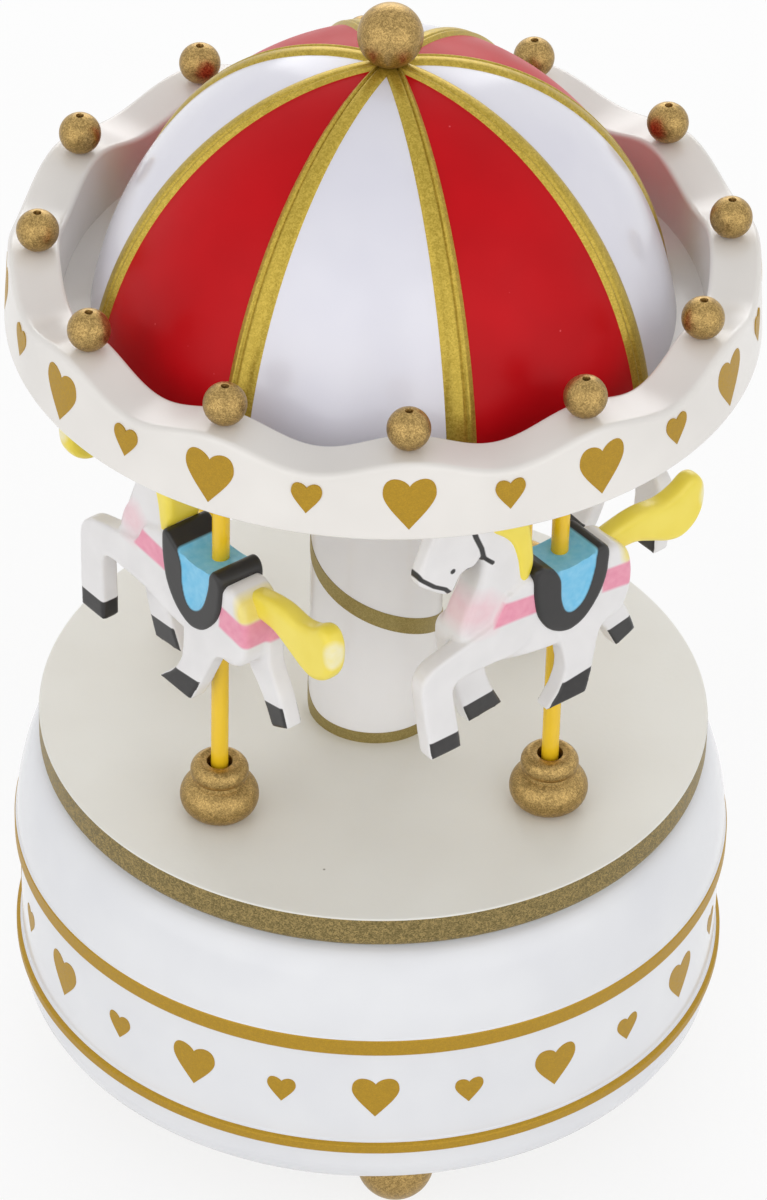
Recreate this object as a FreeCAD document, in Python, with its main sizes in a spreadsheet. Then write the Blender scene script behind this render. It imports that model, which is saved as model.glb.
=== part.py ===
import FreeCAD, Part
import math
import os
import re
import Sketcher

# Carousel music box. The base and its movement stand on four ball feet; the platform, horses, column and
# canopy turn together on the winding shaft. Millimetres, +Z up, front at -Y, origin on the table under the
# shaft.

Vector = FreeCAD.Vector
Z_AXIS = Vector(0, 0, 1)

SIZES = {
    # Clearances: turning fits, pushed or screwed fits, dropped-in covers, and room past a screw's tip.
    # Overlap is how far a piece runs on into the one it is joined to or cuts.
    "running_gap": 0.05,
    "fit_gap": 0.03,
    "cover_gap": 0.1,
    "tip_gap": 0.4,
    "overlap": 1.0,
    # Feet
    "foot_dia": 11.9,
    "foot_height": 11.2,
    "foot_centre": 5.5,
    "foot_circle": 41.7,
    "foot_count": 4,
    "foot_turn": 2.5,
    "foot_screw_dia": 2.2,
    "foot_screw_grip": 7.5,
    # Base shell
    "base_height": 44.5,
    "band_radius": 54.0,
    "bottom_round": 4.8,
    "line_stand": 0.9,
    "line_slope": 0.6,
    "lower_line_start": 8.1,
    "lower_line_width": 2.2,
    "upper_line_start": 27.5,
    "upper_line_width": 2.9,
    "shoulder_radius": 54.6,
    "shoulder_break": 53.0,
    "shoulder_drop": 4.5,
    "shoulder_round": 7.5,
    "shoulder_sweep": 40.0,
    "deck_radius": 50.3,
    "deck_thickness": 2.5,
    "shell_inside": 51.6,
    "shell_splay": 3.2,
    "ledge_inside": 44.2,
    "ledge_thickness": 4.0,
    "cover_seat": 47.9,
    "cover_thickness": 2.0,
    "cover_screw_circle": 46.0,
    "cover_screw_dia": 1.8,
    "cover_screw_grip": 3.4,
    "cover_screw_turn": 45.0,
    "screw_head_height": 1.4,
    "screw_head_step": 0.8,
    # Movement
    "boss_height": 4.0,
    "boss_dia": 6.0,
    "bedplate_thickness": 2.0,
    "bedplate_screw_dia": 2.2,
    "bush_dia": 7.0,
    "bush_drop": 0.7,
    "deck_hole_dia": 6.4,
    "washer_dia": 13.0,
    "shaft_dia": 4.4,
    "pivot_dia": 3.0,
    "wheel_gap": 1.0,
    "wheel_thickness": 1.6,
    "crown_teeth": 40,
    "pinion_teeth": 10,
    "crown_pitch_radius": 16.0,
    "crown_tooth_depth": 1.7,
    "crown_face": 2.8,
    "pinion_face": 2.0,
    "housing_radius": 13.0,
    "housing_wall": 1.0,
    "housing_floor": 1.2,
    "housing_height": 12.6,
    "housing_gap": 0.5,
    "post_circle": 20.0,
    "post_dia": 3.2,
    "post_tenon_dia": 1.8,
    "ear_radius": 3.0,
    "ear_thickness": 2.0,
    "spring_strip": 0.5,
    "spring_turns": 6,
    "end_plate_start": 18.2,
    "end_plate_thickness": 1.2,
    "end_plate_spacing": 25.8,
    "end_plate_left": -15.0,
    "end_plate_right": 6.0,
    "end_plate_drop": 24.4,
    "tenon_width": 3.0,
    "drum_radius": 5.5,
    "drum_start": 20.2,
    "drum_pitch": 1.0,
    "drum_notes": 18,
    "drum_pin_dia": 0.5,
    "drum_pin_stand": 0.6,
    "arbor_dia": 2.4,
    "wheel_arbor_dia": 2.0,
    "gear_module": 0.7,
    "gear_teeth": 24,
    "leaf_teeth": 8,
    "gear_face": 1.4,
    "gear_gap": 0.8,
    "comb_gap": 0.15,
    "comb_tooth_length": 12.0,
    "comb_tooth_width": 0.75,
    "comb_tooth_thickness": 0.6,
    "comb_bar_thickness": 1.6,
    "comb_bar_width": 8.0,
    "comb_screw_dia": 2.0,
    "comb_screw_grip": 5.0,
    "fly_radius": 8.0,
    "fly_thickness": 0.8,
    # Platform, hub and column
    "platform_gap": 0.7,
    "platform_radius": 50.9,
    "platform_thickness": 5.5,
    "platform_round": 1.3,
    "platform_edge": 0.3,
    "column_radius": 10.0,
    "column_wall": 1.5,
    "column_height": 72.3,
    "hub_height": 5.0,
    "hub_screw_circle": 5.4,
    "hub_screw_dia": 1.8,
    "hub_screw_grip": 3.6,
    "hub_screw_count": 3,
    # Poles, beads at their feet, horses
    "pole_dia": 2.6,
    "pole_circle": 34.7,
    "pole_count": 4,
    "pole_turn": 45.0,
    "pole_socket": 3.5,
    "bead_bore": 3.8,
    "bead_neck": 7.8,
    "bead_foot": 6.8,
    "bead_top": 5.8,
    "bead_belly_height": 6.1,
    "bead_belly_round": 3.2,
    "bead_shoulder_round": 1.9,
    "bead_height": 9.2,
    "horse_size": 1.0,
    "horse_inward": 10.0,
    "horse_outset": 0.6,
    # Canopy
    "ring_radius": 55.0,
    "ring_top_radius": 54.0,
    "ring_inside": 46.8,
    "ring_height": 12.6,
    "ring_edge": 0.5,
    "ring_waves": 12,
    "wave_depth": 2.7,
    "wave_radius": 28.0,
    "plate_radius": 50.0,
    "plate_thickness": 2.2,
    "spigot_height": 5.0,
    "canopy_screw_circle": 48.4,
    "canopy_screw_dia": 1.6,
    "canopy_screw_grip": 3.0,
    "canopy_screw_count": 6,
    "crown_bead_dia": 6.2,
    "crown_bead_flat": 0.1,
    "crown_bead_circle": 49.9,
    "crown_pin_dia": 1.2,
    "crown_pin_depth": 3.0,
    "crown_pin_stand": 4.6,
    "dome_radius": 43.3,
    "dome_rise": 51.0,
    "dome_sink": 10.2,
    "dome_wall": 2.0,
    "rib_width": 4.6,
    "rib_stand": 0.5,
    "rib_turn": 11.4,
    "rib_pairs": 4,
    "finial_dia": 9.4,
    "finial_centre": 4.0,
    "finial_peg_dia": 3.0,
    "finial_peg_length": 6.0,
}

doc = FreeCAD.newDocument("carousel_music_box")
sheet = doc.addObject("Spreadsheet::Sheet", "dims")
for row, (name, number) in enumerate(SIZES.items(), 1):
    sheet.set(f"A{row}", name)
    sheet.set(f"B{row}", str(number))
    sheet.setAlias(f"B{row}", name)
doc.recompute()

# Levels, as formulas of the sheet's names
COVER_TOP = "(foot_height + cover_thickness)"
DECK_TOP = "(foot_height + base_height)"
DECK_UNDER = f"({DECK_TOP} - deck_thickness)"
BEDPLATE_TOP = f"({DECK_UNDER} - boss_height)"
BEDPLATE_UNDER = f"({BEDPLATE_TOP} - bedplate_thickness)"
WHEEL_UNDER = f"({BEDPLATE_UNDER} - wheel_gap - wheel_thickness)"
PINION_RADIUS = "(crown_pitch_radius * pinion_teeth / crown_teeth)"
PITCH_PLANE = f"({WHEEL_UNDER} - crown_tooth_depth / 2)"
DRUM_LEVEL = f"({PITCH_PLANE} - {PINION_RADIUS})"
HOUSING_TOP = f"({WHEEL_UNDER} - crown_tooth_depth - housing_gap)"
HOUSING_BOTTOM = f"({HOUSING_TOP} - housing_height)"
PLATFORM_UNDER = f"({DECK_TOP} + platform_gap)"
PLATFORM_TOP = f"({PLATFORM_UNDER} + platform_thickness)"
CANOPY_UNDER = f"({PLATFORM_TOP} + column_height)"
PLATE_TOP = f"({CANOPY_UNDER} + plate_thickness)"
RING_TOP = f"({CANOPY_UNDER} + ring_height)"
DOME_CENTRE = f"({PLATE_TOP} - dome_sink)"
DOME_TOP = f"({DOME_CENTRE} + dome_rise)"
RIB_TOP = f"({DOME_TOP} + rib_stand)"

# The gear train behind the drum, along +X from the shaft
END_PLATE_INNER = "end_plate_start"
END_PLATE_OUTER = "(end_plate_start + end_plate_spacing)"
END_PLATE_FAR = f"({END_PLATE_OUTER} + end_plate_thickness)"
DRUM_LENGTH = "(drum_notes * drum_pitch)"
DRUM_GEAR_START = f"(drum_start + {DRUM_LENGTH} + gear_gap)"
WHEEL_GEAR_START = f"({DRUM_GEAR_START} + gear_face + gear_gap)"
GEAR_CENTRES = "(gear_module * (gear_teeth + leaf_teeth) / 2)"
GOVERNOR_LEVEL = f"({DRUM_LEVEL} - {GEAR_CENTRES})"
COMB_TIP = "(drum_radius + drum_pin_stand + comb_gap)"
COMB_BAR_FRONT = f"({COMB_TIP} + comb_tooth_length)"
COMB_UNDER = f"({DRUM_LEVEL} - comb_tooth_thickness / 2)"
COMB_BAR_TOP = f"({COMB_UNDER} + comb_bar_thickness)"

# Places on the bedplate, seen from above: its outline, its screws, the spring housing posts' directions
# and the two comb screws
BEDPLATE_OUTLINE = [(-25, -22), (10, -22), (40, -17), (46.5, -12), (46.5, 10), (39, 27), (12, 27), (6, 22),
                    (-25, 22)]
BEDPLATE_SCREWS = [(-20, -17), (-20, 17), (30, -14), (14, 22)]
POST_ANGLES = [110, 180, 250]
COMB_SCREW_NOTES = [4, 14]

# The drum's pins: three to a note, each note's set turned on from the last
PIN_ANGLES = [0, 131, 233]
PIN_TURN = 97

# Tooth shape, as shares of the pitch and the module
TOOTH_SHARE = 0.36
TOOTH_SLOPE = 0.28
ADDENDUM = 0.75
DEDENDUM = 1.15


def formula(text):
    """The text as an expression, with each size's name pointing at the sheet."""
    return re.sub(r"[a-z_]{2,}", lambda word: "dims." + word[0] if word[0] in SIZES else word[0], str(text))


def value(text):
    return float(sheet.evalExpression(formula(text)))


def bind(thing, **properties):
    """Tie properties to formulas; x, y and z are the placement."""
    for name, text in properties.items():
        path = f"Placement.Base.{name}" if name in ("x", "y", "z") else name
        thing.setExpression(path, formula(text))
    return thing


def turned(thing, angle, axis=Z_AXIS):
    """Turn a piece about the given axis through its placement's base by a formula in degrees."""
    thing.Placement = FreeCAD.Placement(thing.Placement.Base, FreeCAD.Rotation(axis, 1))
    thing.setExpression("Placement.Rotation.Angle", formula(angle))
    return thing


def cylinder(name, radius, height, z="0", x="0", y="0"):
    return bind(doc.addObject("Part::Cylinder", name), Radius=radius, Height=height, x=x, y=y, z=z)


def rod(name, radius, length, x, y, z):
    """A cylinder that lies along +X from x."""
    lying = cylinder(name, radius, length)
    lying.Placement = FreeCAD.Placement(Vector(), FreeCAD.Rotation(Vector(0, 1, 0), 90))
    return bind(lying, x=x, y=y, z=z)


def box(name, length, width, height, x, y, z):
    return bind(doc.addObject("Part::Box", name), Length=length, Width=width, Height=height, x=x, y=y, z=z)


def fuse(name, pieces):
    joined = doc.addObject("Part::MultiFuse", name)
    joined.Shapes = pieces
    return joined


def common(name, first, second):
    shared = doc.addObject("Part::MultiCommon", name)
    shared.Shapes = [first, second]
    return shared


def cut(name, base, tools):
    result = doc.addObject("Part::Cut", name)
    result.Base = base
    result.Tool = tools[0] if len(tools) == 1 else fuse(name + "_tools", tools)
    return result


def group(name, pieces):
    together = doc.addObject("Part::Compound", name)
    together.Links = pieces
    return together


def copies_about_z(name, piece, count, first="0"):
    """The piece turned about the Z axis to each of its places, as a list."""
    total = round(value(count))
    return [
        turned(group(f"{name}_copy_{index + 1}", [piece]), f"{first} + {index} * 360 / {count}")
        for index in range(total)
    ]


def sketch_in(body, role, name):
    sketch = body.newObject("Sketcher::SketchObject", name)
    plane = next(feature for feature in body.Origin.OriginFeatures if feature.Role == role)
    sketch.AttachmentSupport = [(plane, "")]
    sketch.MapMode = "FlatFace"
    return sketch


def arc_between(start, end, radius, turn):
    """The short arc from start to end: turn is 1 to bend left on the way, -1 to bend right."""
    half = (end - start) * 0.5
    side = Vector(-half.y, half.x, 0).normalize()
    centre = start + half + side * (turn * math.sqrt(max(radius**2 - half.Length**2, 0)))
    first, last = (start, end) if turn > 0 else (end, start)
    angles = [math.atan2(point.y - centre.y, point.x - centre.x) for point in (first, last)]
    return Part.ArcOfCircle(Part.Circle(centre, Z_AXIS, radius), *angles)


def draw_outline(sketch, corners):
    """A closed outline. A corner is (x, y), or (x, y, radius, turn) where an arc runs on to the next one."""
    points = []
    for corner in corners:
        place = Vector(value(corner[0]), value(corner[1]), 0)
        mark = sketch.addGeometry(Part.Point(place), True)
        for kind, text, number in (("DistanceX", corner[0], place.x), ("DistanceY", corner[1], place.y)):
            held = sketch.addConstraint(Sketcher.Constraint(kind, mark, 1, number))
            sketch.setExpression(f"Constraints[{held}]", formula(text))
        points.append((mark, place))
    for index, corner in enumerate(corners):
        ends = [points[index], points[(index + 1) % len(points)]]
        if len(corner) == 2:
            edge = sketch.addGeometry(Part.LineSegment(ends[0][1], ends[1][1]))
        else:
            radius, turn = corner[2:]
            edge = sketch.addGeometry(arc_between(ends[0][1], ends[1][1], value(radius), turn))
            held = sketch.addConstraint(Sketcher.Constraint("Radius", edge, value(radius)))
            sketch.setExpression(f"Constraints[{held}]", formula(radius))
            ends = ends[::turn]
        for which, (mark, place) in enumerate(ends, 1):
            sketch.addConstraint(Sketcher.Constraint("Coincident", edge, which, mark, 1))


def lathe(name, corners):
    """A body turned about the Z axis from an outline in radius and height."""
    body = doc.addObject("PartDesign::Body", name)
    sketch = sketch_in(body, "XZ_Plane", name + "_outline")
    draw_outline(sketch, corners)
    turning = body.newObject("PartDesign::Revolution", name + "_turning")
    turning.Profile = sketch
    turning.ReferenceAxis = (sketch, ["V_Axis"])
    turning.Angle = 360
    return body


def padded(name, role, corners, length):
    """A body made by padding an outline drawn on one of its origin planes."""
    body = doc.addObject("PartDesign::Body", name)
    sketch = sketch_in(body, role, name + "_outline")
    draw_outline(sketch, corners)
    pad = body.newObject("PartDesign::Pad", name + "_pad")
    pad.Profile = sketch
    return bind_pad(body, pad, length)


def bind_pad(body, pad, length):
    pad.setExpression("Length", formula(length))
    return body


def screw(name, dia, grip, seat, x, y, up=1):
    """A pan head screw whose head lies under or over the seat level; its shank grips upwards if up is 1."""
    head_z = f"{seat} - screw_head_height" if up == 1 else seat
    shank_z = seat if up == 1 else f"{seat} - ({grip})"
    head = cylinder(name + "_head", f"{dia} / 2 + screw_head_step", "screw_head_height", head_z, x, y)
    shank = cylinder(name + "_shank", f"{dia} / 2", grip, shank_z, x, y)
    return fuse(name, [head, shank])


def spur_gear(name, teeth, module, face, x, y, z, first_turn):
    """A gear lying on the X axis from x, with straight sided teeth; first_turn is from +Y towards +Z."""
    body = doc.addObject("PartDesign::Body", name)
    pitch_radius = f"({module} * {teeth} / 2)"
    root_radius = f"({pitch_radius} - {DEDENDUM} * {module})"
    tip_radius = f"({pitch_radius} + {ADDENDUM} * {module})"
    half_pitch = f"({TOOTH_SHARE} * pi * {module} / 2)"
    half_root = f"({half_pitch} + {TOOTH_SLOPE * DEDENDUM} * {module})"
    half_tip = f"({half_pitch} - {TOOTH_SLOPE * ADDENDUM} * {module})"
    inside = f"({root_radius} - {module})"

    disc = sketch_in(body, "YZ_Plane", name + "_disc")
    circle = disc.addGeometry(Part.Circle(Vector(), Z_AXIS, value(root_radius)))
    disc.addConstraint(Sketcher.Constraint("Coincident", circle, 3, -1, 1))
    held = disc.addConstraint(Sketcher.Constraint("Radius", circle, value(root_radius)))
    disc.setExpression(f"Constraints[{held}]", formula(root_radius))
    blank = body.newObject("PartDesign::Pad", name + "_blank")
    blank.Profile = disc
    bind_pad(body, blank, face)

    tooth_outline = sketch_in(body, "YZ_Plane", name + "_tooth_outline")
    draw_outline(tooth_outline, [
        (inside, f"-{half_root}"),
        (root_radius, f"-{half_root}"),
        (tip_radius, f"-{half_tip}"),
        (tip_radius, half_tip),
        (root_radius, half_root),
        (inside, half_root),
    ])
    tooth = body.newObject("PartDesign::Pad", name + "_tooth")
    tooth.Profile = tooth_outline
    bind_pad(body, tooth, face)
    pattern = body.newObject("PartDesign::PolarPattern", name + "_teeth")
    pattern.Originals = [tooth]
    pattern.Axis = (disc, ["N_Axis"])
    pattern.Angle = 360
    pattern.setExpression("Occurrences", formula(teeth))
    body.Tip = pattern
    turned(body, first_turn, Vector(1, 0, 0))
    return bind(body, x=x, y=y, z=z)


parts = {}


def keep(name, thing):
    """Name a finished sub-part, which also names its file."""
    thing.Label = name
    parts[name] = thing
    return thing


def keep_each(names, things):
    for name, thing in zip(names, things):
        keep(name, thing)


# Base shell: lines stand proud of the band, the shoulder closes in to the deck
def base_shell():
    lower = "(foot_height + lower_line_start)"
    lower_end = f"({lower} + lower_line_width)"
    upper = "(foot_height + upper_line_start)"
    upper_end = f"({upper} + upper_line_width)"
    proud = "(band_radius + line_stand)"
    ledge_top = f"({COVER_TOP} + ledge_thickness)"
    shell = lathe("shell", [
        ("cover_seat", "foot_height"),
        ("band_radius - bottom_round", "foot_height", "bottom_round", 1),
        ("band_radius", "foot_height + bottom_round"),
        ("band_radius", f"{lower} - line_slope"),
        (proud, lower),
        (proud, lower_end),
        ("band_radius", f"{lower_end} + line_slope"),
        ("band_radius", f"{upper} - line_slope"),
        (proud, upper),
        (proud, upper_end),
        ("shoulder_radius", f"{upper_end} + line_slope / 2", "shoulder_sweep", 1),
        ("shoulder_break", f"{DECK_TOP} - shoulder_drop", "shoulder_round", 1),
        ("deck_radius", DECK_TOP),
        ("deck_hole_dia / 2", DECK_TOP),
        ("deck_hole_dia / 2", DECK_UNDER),
        ("shell_inside - shell_splay", DECK_UNDER),
        ("shell_inside", f"{DECK_UNDER} - shell_splay"),
        ("shell_inside", ledge_top),
        ("ledge_inside", ledge_top),
        ("ledge_inside", COVER_TOP),
        ("cover_seat", COVER_TOP),
    ])
    bosses = [
        cylinder(f"boss_{index}", "boss_dia / 2", "boss_height + deck_thickness / 2", BEDPLATE_TOP, x, y)
        for index, (x, y) in enumerate(BEDPLATE_SCREWS)
    ]
    boss_holes = [
        cylinder(f"boss_hole_{index}", "bedplate_screw_dia / 2 + fit_gap", "boss_height", BEDPLATE_TOP, x, y)
        for index, (x, y) in enumerate(BEDPLATE_SCREWS)
    ]
    ledge_hole = cylinder(
        "ledge_hole", "cover_screw_dia / 2 + fit_gap", "cover_screw_grip", COVER_TOP, "cover_screw_circle"
    )
    ledge_holes = copies_about_z("ledge_hole", ledge_hole, "foot_count", "cover_screw_turn")
    blank = fuse("shell_and_bosses", [shell, *bosses])
    keep("base_shell", cut("base_shell", blank, boss_holes + ledge_holes))


def foot_angle(first):
    """Turn for a piece made on the X axis, so that the first copy stands at the front."""
    return f"{first} - 90"


def feet_and_cover():
    ball = bind(doc.addObject("Part::Sphere", "foot_ball"), Radius="foot_dia / 2", z="foot_centre")
    slab = cylinder("foot_slab", "foot_dia", "foot_height")
    bore = cylinder(
        "foot_bore", "foot_screw_dia / 2 + fit_gap", "foot_screw_grip", "foot_height - foot_screw_grip"
    )
    bored = cut("foot_bored", common("foot_blank", ball, slab), [bore])
    foot = bind(group("foot_on_circle", [bored]), x="foot_circle")
    feet = copies_about_z("foot", foot, "foot_count", foot_angle("foot_turn"))
    keep_each(["foot_front", "foot_right", "foot_rear", "foot_left"], feet)

    foot_screw = screw(
        "foot_screw", "foot_screw_dia", "foot_screw_grip - tip_gap + cover_thickness", COVER_TOP,
        "foot_circle", "0", -1
    )
    keep("foot_screws", group(
        "foot_screws", copies_about_z("foot_screw", foot_screw, "foot_count", foot_angle("foot_turn"))
    ))
    cover_screw = screw(
        "cover_screw", "cover_screw_dia", "cover_thickness + cover_screw_grip - tip_gap", "foot_height",
        "cover_screw_circle", "0"
    )
    keep("cover_screws", group(
        "cover_screws", copies_about_z("cover_screw", cover_screw, "foot_count", "cover_screw_turn")
    ))
    disc = cylinder("cover_disc", "cover_seat - cover_gap", "cover_thickness", "foot_height")
    foot_hole = cylinder(
        "cover_foot_hole", "foot_screw_dia / 2 + cover_gap", "cover_thickness", "foot_height", "foot_circle"
    )
    rim_hole = cylinder(
        "cover_rim_hole", "cover_screw_dia / 2 + cover_gap", "cover_thickness", "foot_height",
        "cover_screw_circle"
    )
    holes = copies_about_z("cover_foot_hole", foot_hole, "foot_count", foot_angle("foot_turn"))
    holes += copies_about_z("cover_rim_hole", rim_hole, "foot_count", "cover_screw_turn")
    keep("bottom_cover", cut("bottom_cover", disc, holes))


# Movement: it hangs under the deck with its winding shaft pointing up
def post_place(angle):
    return f"post_circle * cos({angle})", f"post_circle * sin({angle})"


def comb_screw_place(note):
    return f"drum_start + {note} * drum_pitch", f"{COMB_BAR_FRONT} + comb_bar_width / 2"


def tenon_places():
    """Start, in Y, of each end plate's two tenons."""
    return ["end_plate_left + tenon_width", "end_plate_right - 2 * tenon_width"]


def bedplate():
    plate = padded("bedplate_blank", "XY_Plane", BEDPLATE_OUTLINE, "bedplate_thickness")
    bind(plate, z=BEDPLATE_UNDER)
    seat = box(
        "comb_seat", DRUM_LENGTH, "comb_bar_width", f"{BEDPLATE_UNDER} - {COMB_BAR_TOP}",
        "drum_start", COMB_BAR_FRONT, COMB_BAR_TOP
    )
    holes = [cylinder("bush_hole", "bush_dia / 2", "bedplate_thickness", BEDPLATE_UNDER)]
    for index, (x, y) in enumerate(BEDPLATE_SCREWS):
        radius = "bedplate_screw_dia / 2 + cover_gap"
        holes.append(cylinder(f"bedplate_hole_{index}", radius, "bedplate_thickness", BEDPLATE_UNDER, x, y))
    for angle in POST_ANGLES:
        radius = "post_tenon_dia / 2 + fit_gap"
        place = post_place(angle)
        holes.append(cylinder(f"post_hole_{angle}", radius, "bedplate_thickness", BEDPLATE_UNDER, *place))
    for note in COMB_SCREW_NOTES:
        radius = "comb_screw_dia / 2 + fit_gap"
        place = comb_screw_place(note)
        holes.append(cylinder(f"comb_seat_hole_{note}", radius, "comb_screw_grip", COMB_BAR_TOP, *place))
    for plate_index, start in enumerate((END_PLATE_INNER, END_PLATE_OUTER)):
        for index, left in enumerate(tenon_places()):
            holes.append(box(
                f"slot_{plate_index}_{index}", "end_plate_thickness + 2 * fit_gap",
                "tenon_width + 2 * fit_gap", "bedplate_thickness",
                f"{start} - fit_gap", f"{left} - fit_gap", BEDPLATE_UNDER
            ))
    window_half = "(gear_module * gear_teeth / 2)"
    holes.append(box(
        "gear_window", "gear_face + gear_gap", f"2 * {window_half}", "bedplate_thickness",
        f"{DRUM_GEAR_START} - gear_gap / 2", f"-{window_half}", BEDPLATE_UNDER
    ))
    keep("movement_bedplate", cut("movement_bedplate", fuse("bedplate_and_seat", [plate, seat]), holes))
    keep("bedplate_screws", group("bedplate_screws", [
        screw(f"bedplate_screw_{index}", "bedplate_screw_dia", "bedplate_thickness + boss_height - tip_gap",
              BEDPLATE_UNDER, x, y)
        for index, (x, y) in enumerate(BEDPLATE_SCREWS)
    ]))
    bush_start = f"{BEDPLATE_UNDER} - bush_drop"
    bush_length = "bedplate_thickness + bush_drop"
    bush = cylinder("bush_blank", "bush_dia / 2 - fit_gap", bush_length, bush_start)
    bush_bore = cylinder("bush_bore", "shaft_dia / 2 + running_gap", bush_length, bush_start)
    keep("shaft_bush", cut("shaft_bush", bush, [bush_bore]))
    washer_height = "platform_gap - running_gap"
    washer = cylinder("washer_blank", "washer_dia / 2", washer_height, DECK_TOP)
    washer_bore = cylinder("washer_bore", "shaft_dia / 2 + cover_gap", washer_height, DECK_TOP)
    keep("thrust_washer", cut("thrust_washer", washer, [washer_bore]))


def spring_parts():
    inside = "(housing_radius - housing_wall)"
    cup = cylinder("cup_outside", "housing_radius", "housing_height", HOUSING_BOTTOM)
    hollow = cylinder("cup_inside", inside, "housing_height", f"{HOUSING_BOTTOM} + housing_floor")
    pivot_hole = cylinder("pivot_hole", "pivot_dia / 2 + running_gap", "housing_floor", HOUSING_BOTTOM)
    ear_level = f"({HOUSING_TOP} - ear_thickness)"
    ears = []
    ear_holes = []
    posts = []
    for angle in POST_ANGLES:
        x, y = post_place(angle)
        ears.append(cylinder(f"ear_{angle}", "ear_radius", "ear_thickness", ear_level, x, y))
        arm = box(f"ear_arm_{angle}", "post_circle", "ear_radius", "ear_thickness", "0", "0", ear_level)
        arm.Placement = FreeCAD.Placement(Vector(), FreeCAD.Rotation(Z_AXIS, angle))
        bind(arm, x=f"ear_radius / 2 * sin({angle})", y=f"-ear_radius / 2 * cos({angle})", z=ear_level)
        ears.append(arm)
        ear_holes.append(
            cylinder(f"ear_hole_{angle}", "post_tenon_dia / 2 + fit_gap", "ear_thickness", ear_level, x, y)
        )
        tenon_length = f"{BEDPLATE_TOP} - {ear_level}"
        body_length = f"{BEDPLATE_UNDER} - {HOUSING_TOP}"
        posts.append(fuse(f"post_{angle}", [
            cylinder(f"post_tenon_{angle}", "post_tenon_dia / 2", tenon_length, ear_level, x, y),
            cylinder(f"post_body_{angle}", "post_dia / 2", body_length, HOUSING_TOP, x, y),
        ]))
    blank = fuse("cup_and_ears", [cup, *ears])
    keep("spring_housing", cut("spring_housing", blank, [hollow, pivot_hole, *ear_holes]))
    keep("spring_posts", group("spring_posts", posts))

    spring = doc.addObject("Part::Feature", "mainspring")
    spring.Shape = spiral_strip(
        value("shaft_dia / 2 + tip_gap"), value(f"{inside} - running_gap"), value("spring_strip"),
        value("spring_turns"), value("housing_height - housing_floor - 2 * housing_gap")
    )
    spring.Placement = FreeCAD.Placement(
        Vector(0, 0, value(f"{HOUSING_BOTTOM} + housing_floor + housing_gap")), FreeCAD.Rotation()
    )
    keep("mainspring", spring)


def spiral_strip(inner, outer, thickness, turns, height):
    """A flat strip coiled evenly from the inner to the outer radius."""
    steps_per_turn = 24
    steps = round(turns * steps_per_turn)

    def edge(offset):
        points = []
        for step in range(steps + 1):
            radius = inner + offset + (outer - thickness - inner) * step / steps
            angle = math.tau * step / steps_per_turn
            points.append(Vector(radius * math.cos(angle), radius * math.sin(angle), 0))
        curve = Part.BSplineCurve()
        curve.interpolate(points)
        return curve.toShape(), points[0], points[-1]

    near, near_start, near_end = edge(0)
    far, far_start, far_end = edge(thickness)
    wire = Part.Wire([near, Part.makeLine(near_end, far_end), far, Part.makeLine(far_start, near_start)])
    return Part.Face(wire).extrude(Vector(0, 0, height))


def end_plates():
    for name, start in (("inner_end_plate", END_PLATE_INNER), ("outer_end_plate", END_PLATE_OUTER)):
        level = f"({BEDPLATE_UNDER} - end_plate_drop)"
        width = "end_plate_right - end_plate_left"
        corner = (start, "end_plate_left", level)
        pieces = [box(f"{name}_sheet", "end_plate_thickness", width, "end_plate_drop", *corner)]
        for index, left in enumerate(tenon_places()):
            tenon_level = f"{BEDPLATE_UNDER} - bedplate_thickness / 2"
            pieces.append(box(
                f"{name}_tenon_{index}", "end_plate_thickness", "tenon_width", "1.5 * bedplate_thickness",
                start, left, tenon_level
            ))
        bearings = [
            ("drum", "arbor_dia", "0", DRUM_LEVEL),
            ("wheel", "wheel_arbor_dia", "0", GOVERNOR_LEVEL),
            ("fly", "wheel_arbor_dia", f"-{GEAR_CENTRES}", GOVERNOR_LEVEL),
        ]
        holes = [
            rod(f"{name}_{held}_hole", f"{dia} / 2 + running_gap", "end_plate_thickness", start, y, z)
            for held, dia, y, z in bearings
        ]
        keep(name, cut(name, fuse(f"{name}_blank", pieces), holes))


def comb():
    bar = box(
        "comb_bar", DRUM_LENGTH, "comb_bar_width", "comb_bar_thickness",
        "drum_start", COMB_BAR_FRONT, COMB_UNDER
    )
    teeth = [
        box(
            f"comb_tooth_{note}", "comb_tooth_width", "comb_tooth_length + overlap", "comb_tooth_thickness",
            f"drum_start + ({note} + 0.5) * drum_pitch - comb_tooth_width / 2", COMB_TIP, COMB_UNDER
        )
        for note in range(round(value("drum_notes")))
    ]
    holes = [
        cylinder(f"comb_hole_{note}", "comb_screw_dia / 2 + fit_gap", "comb_bar_thickness", COMB_UNDER,
                 *comb_screw_place(note))
        for note in COMB_SCREW_NOTES
    ]
    keep("comb", cut("comb", fuse("comb_blank", [bar, *teeth]), holes))
    keep("comb_screws", group("comb_screws", [
        screw(f"comb_screw_{note}", "comb_screw_dia", "comb_bar_thickness + comb_screw_grip - tip_gap",
              COMB_UNDER, *comb_screw_place(note))
        for note in COMB_SCREW_NOTES
    ]))


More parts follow.
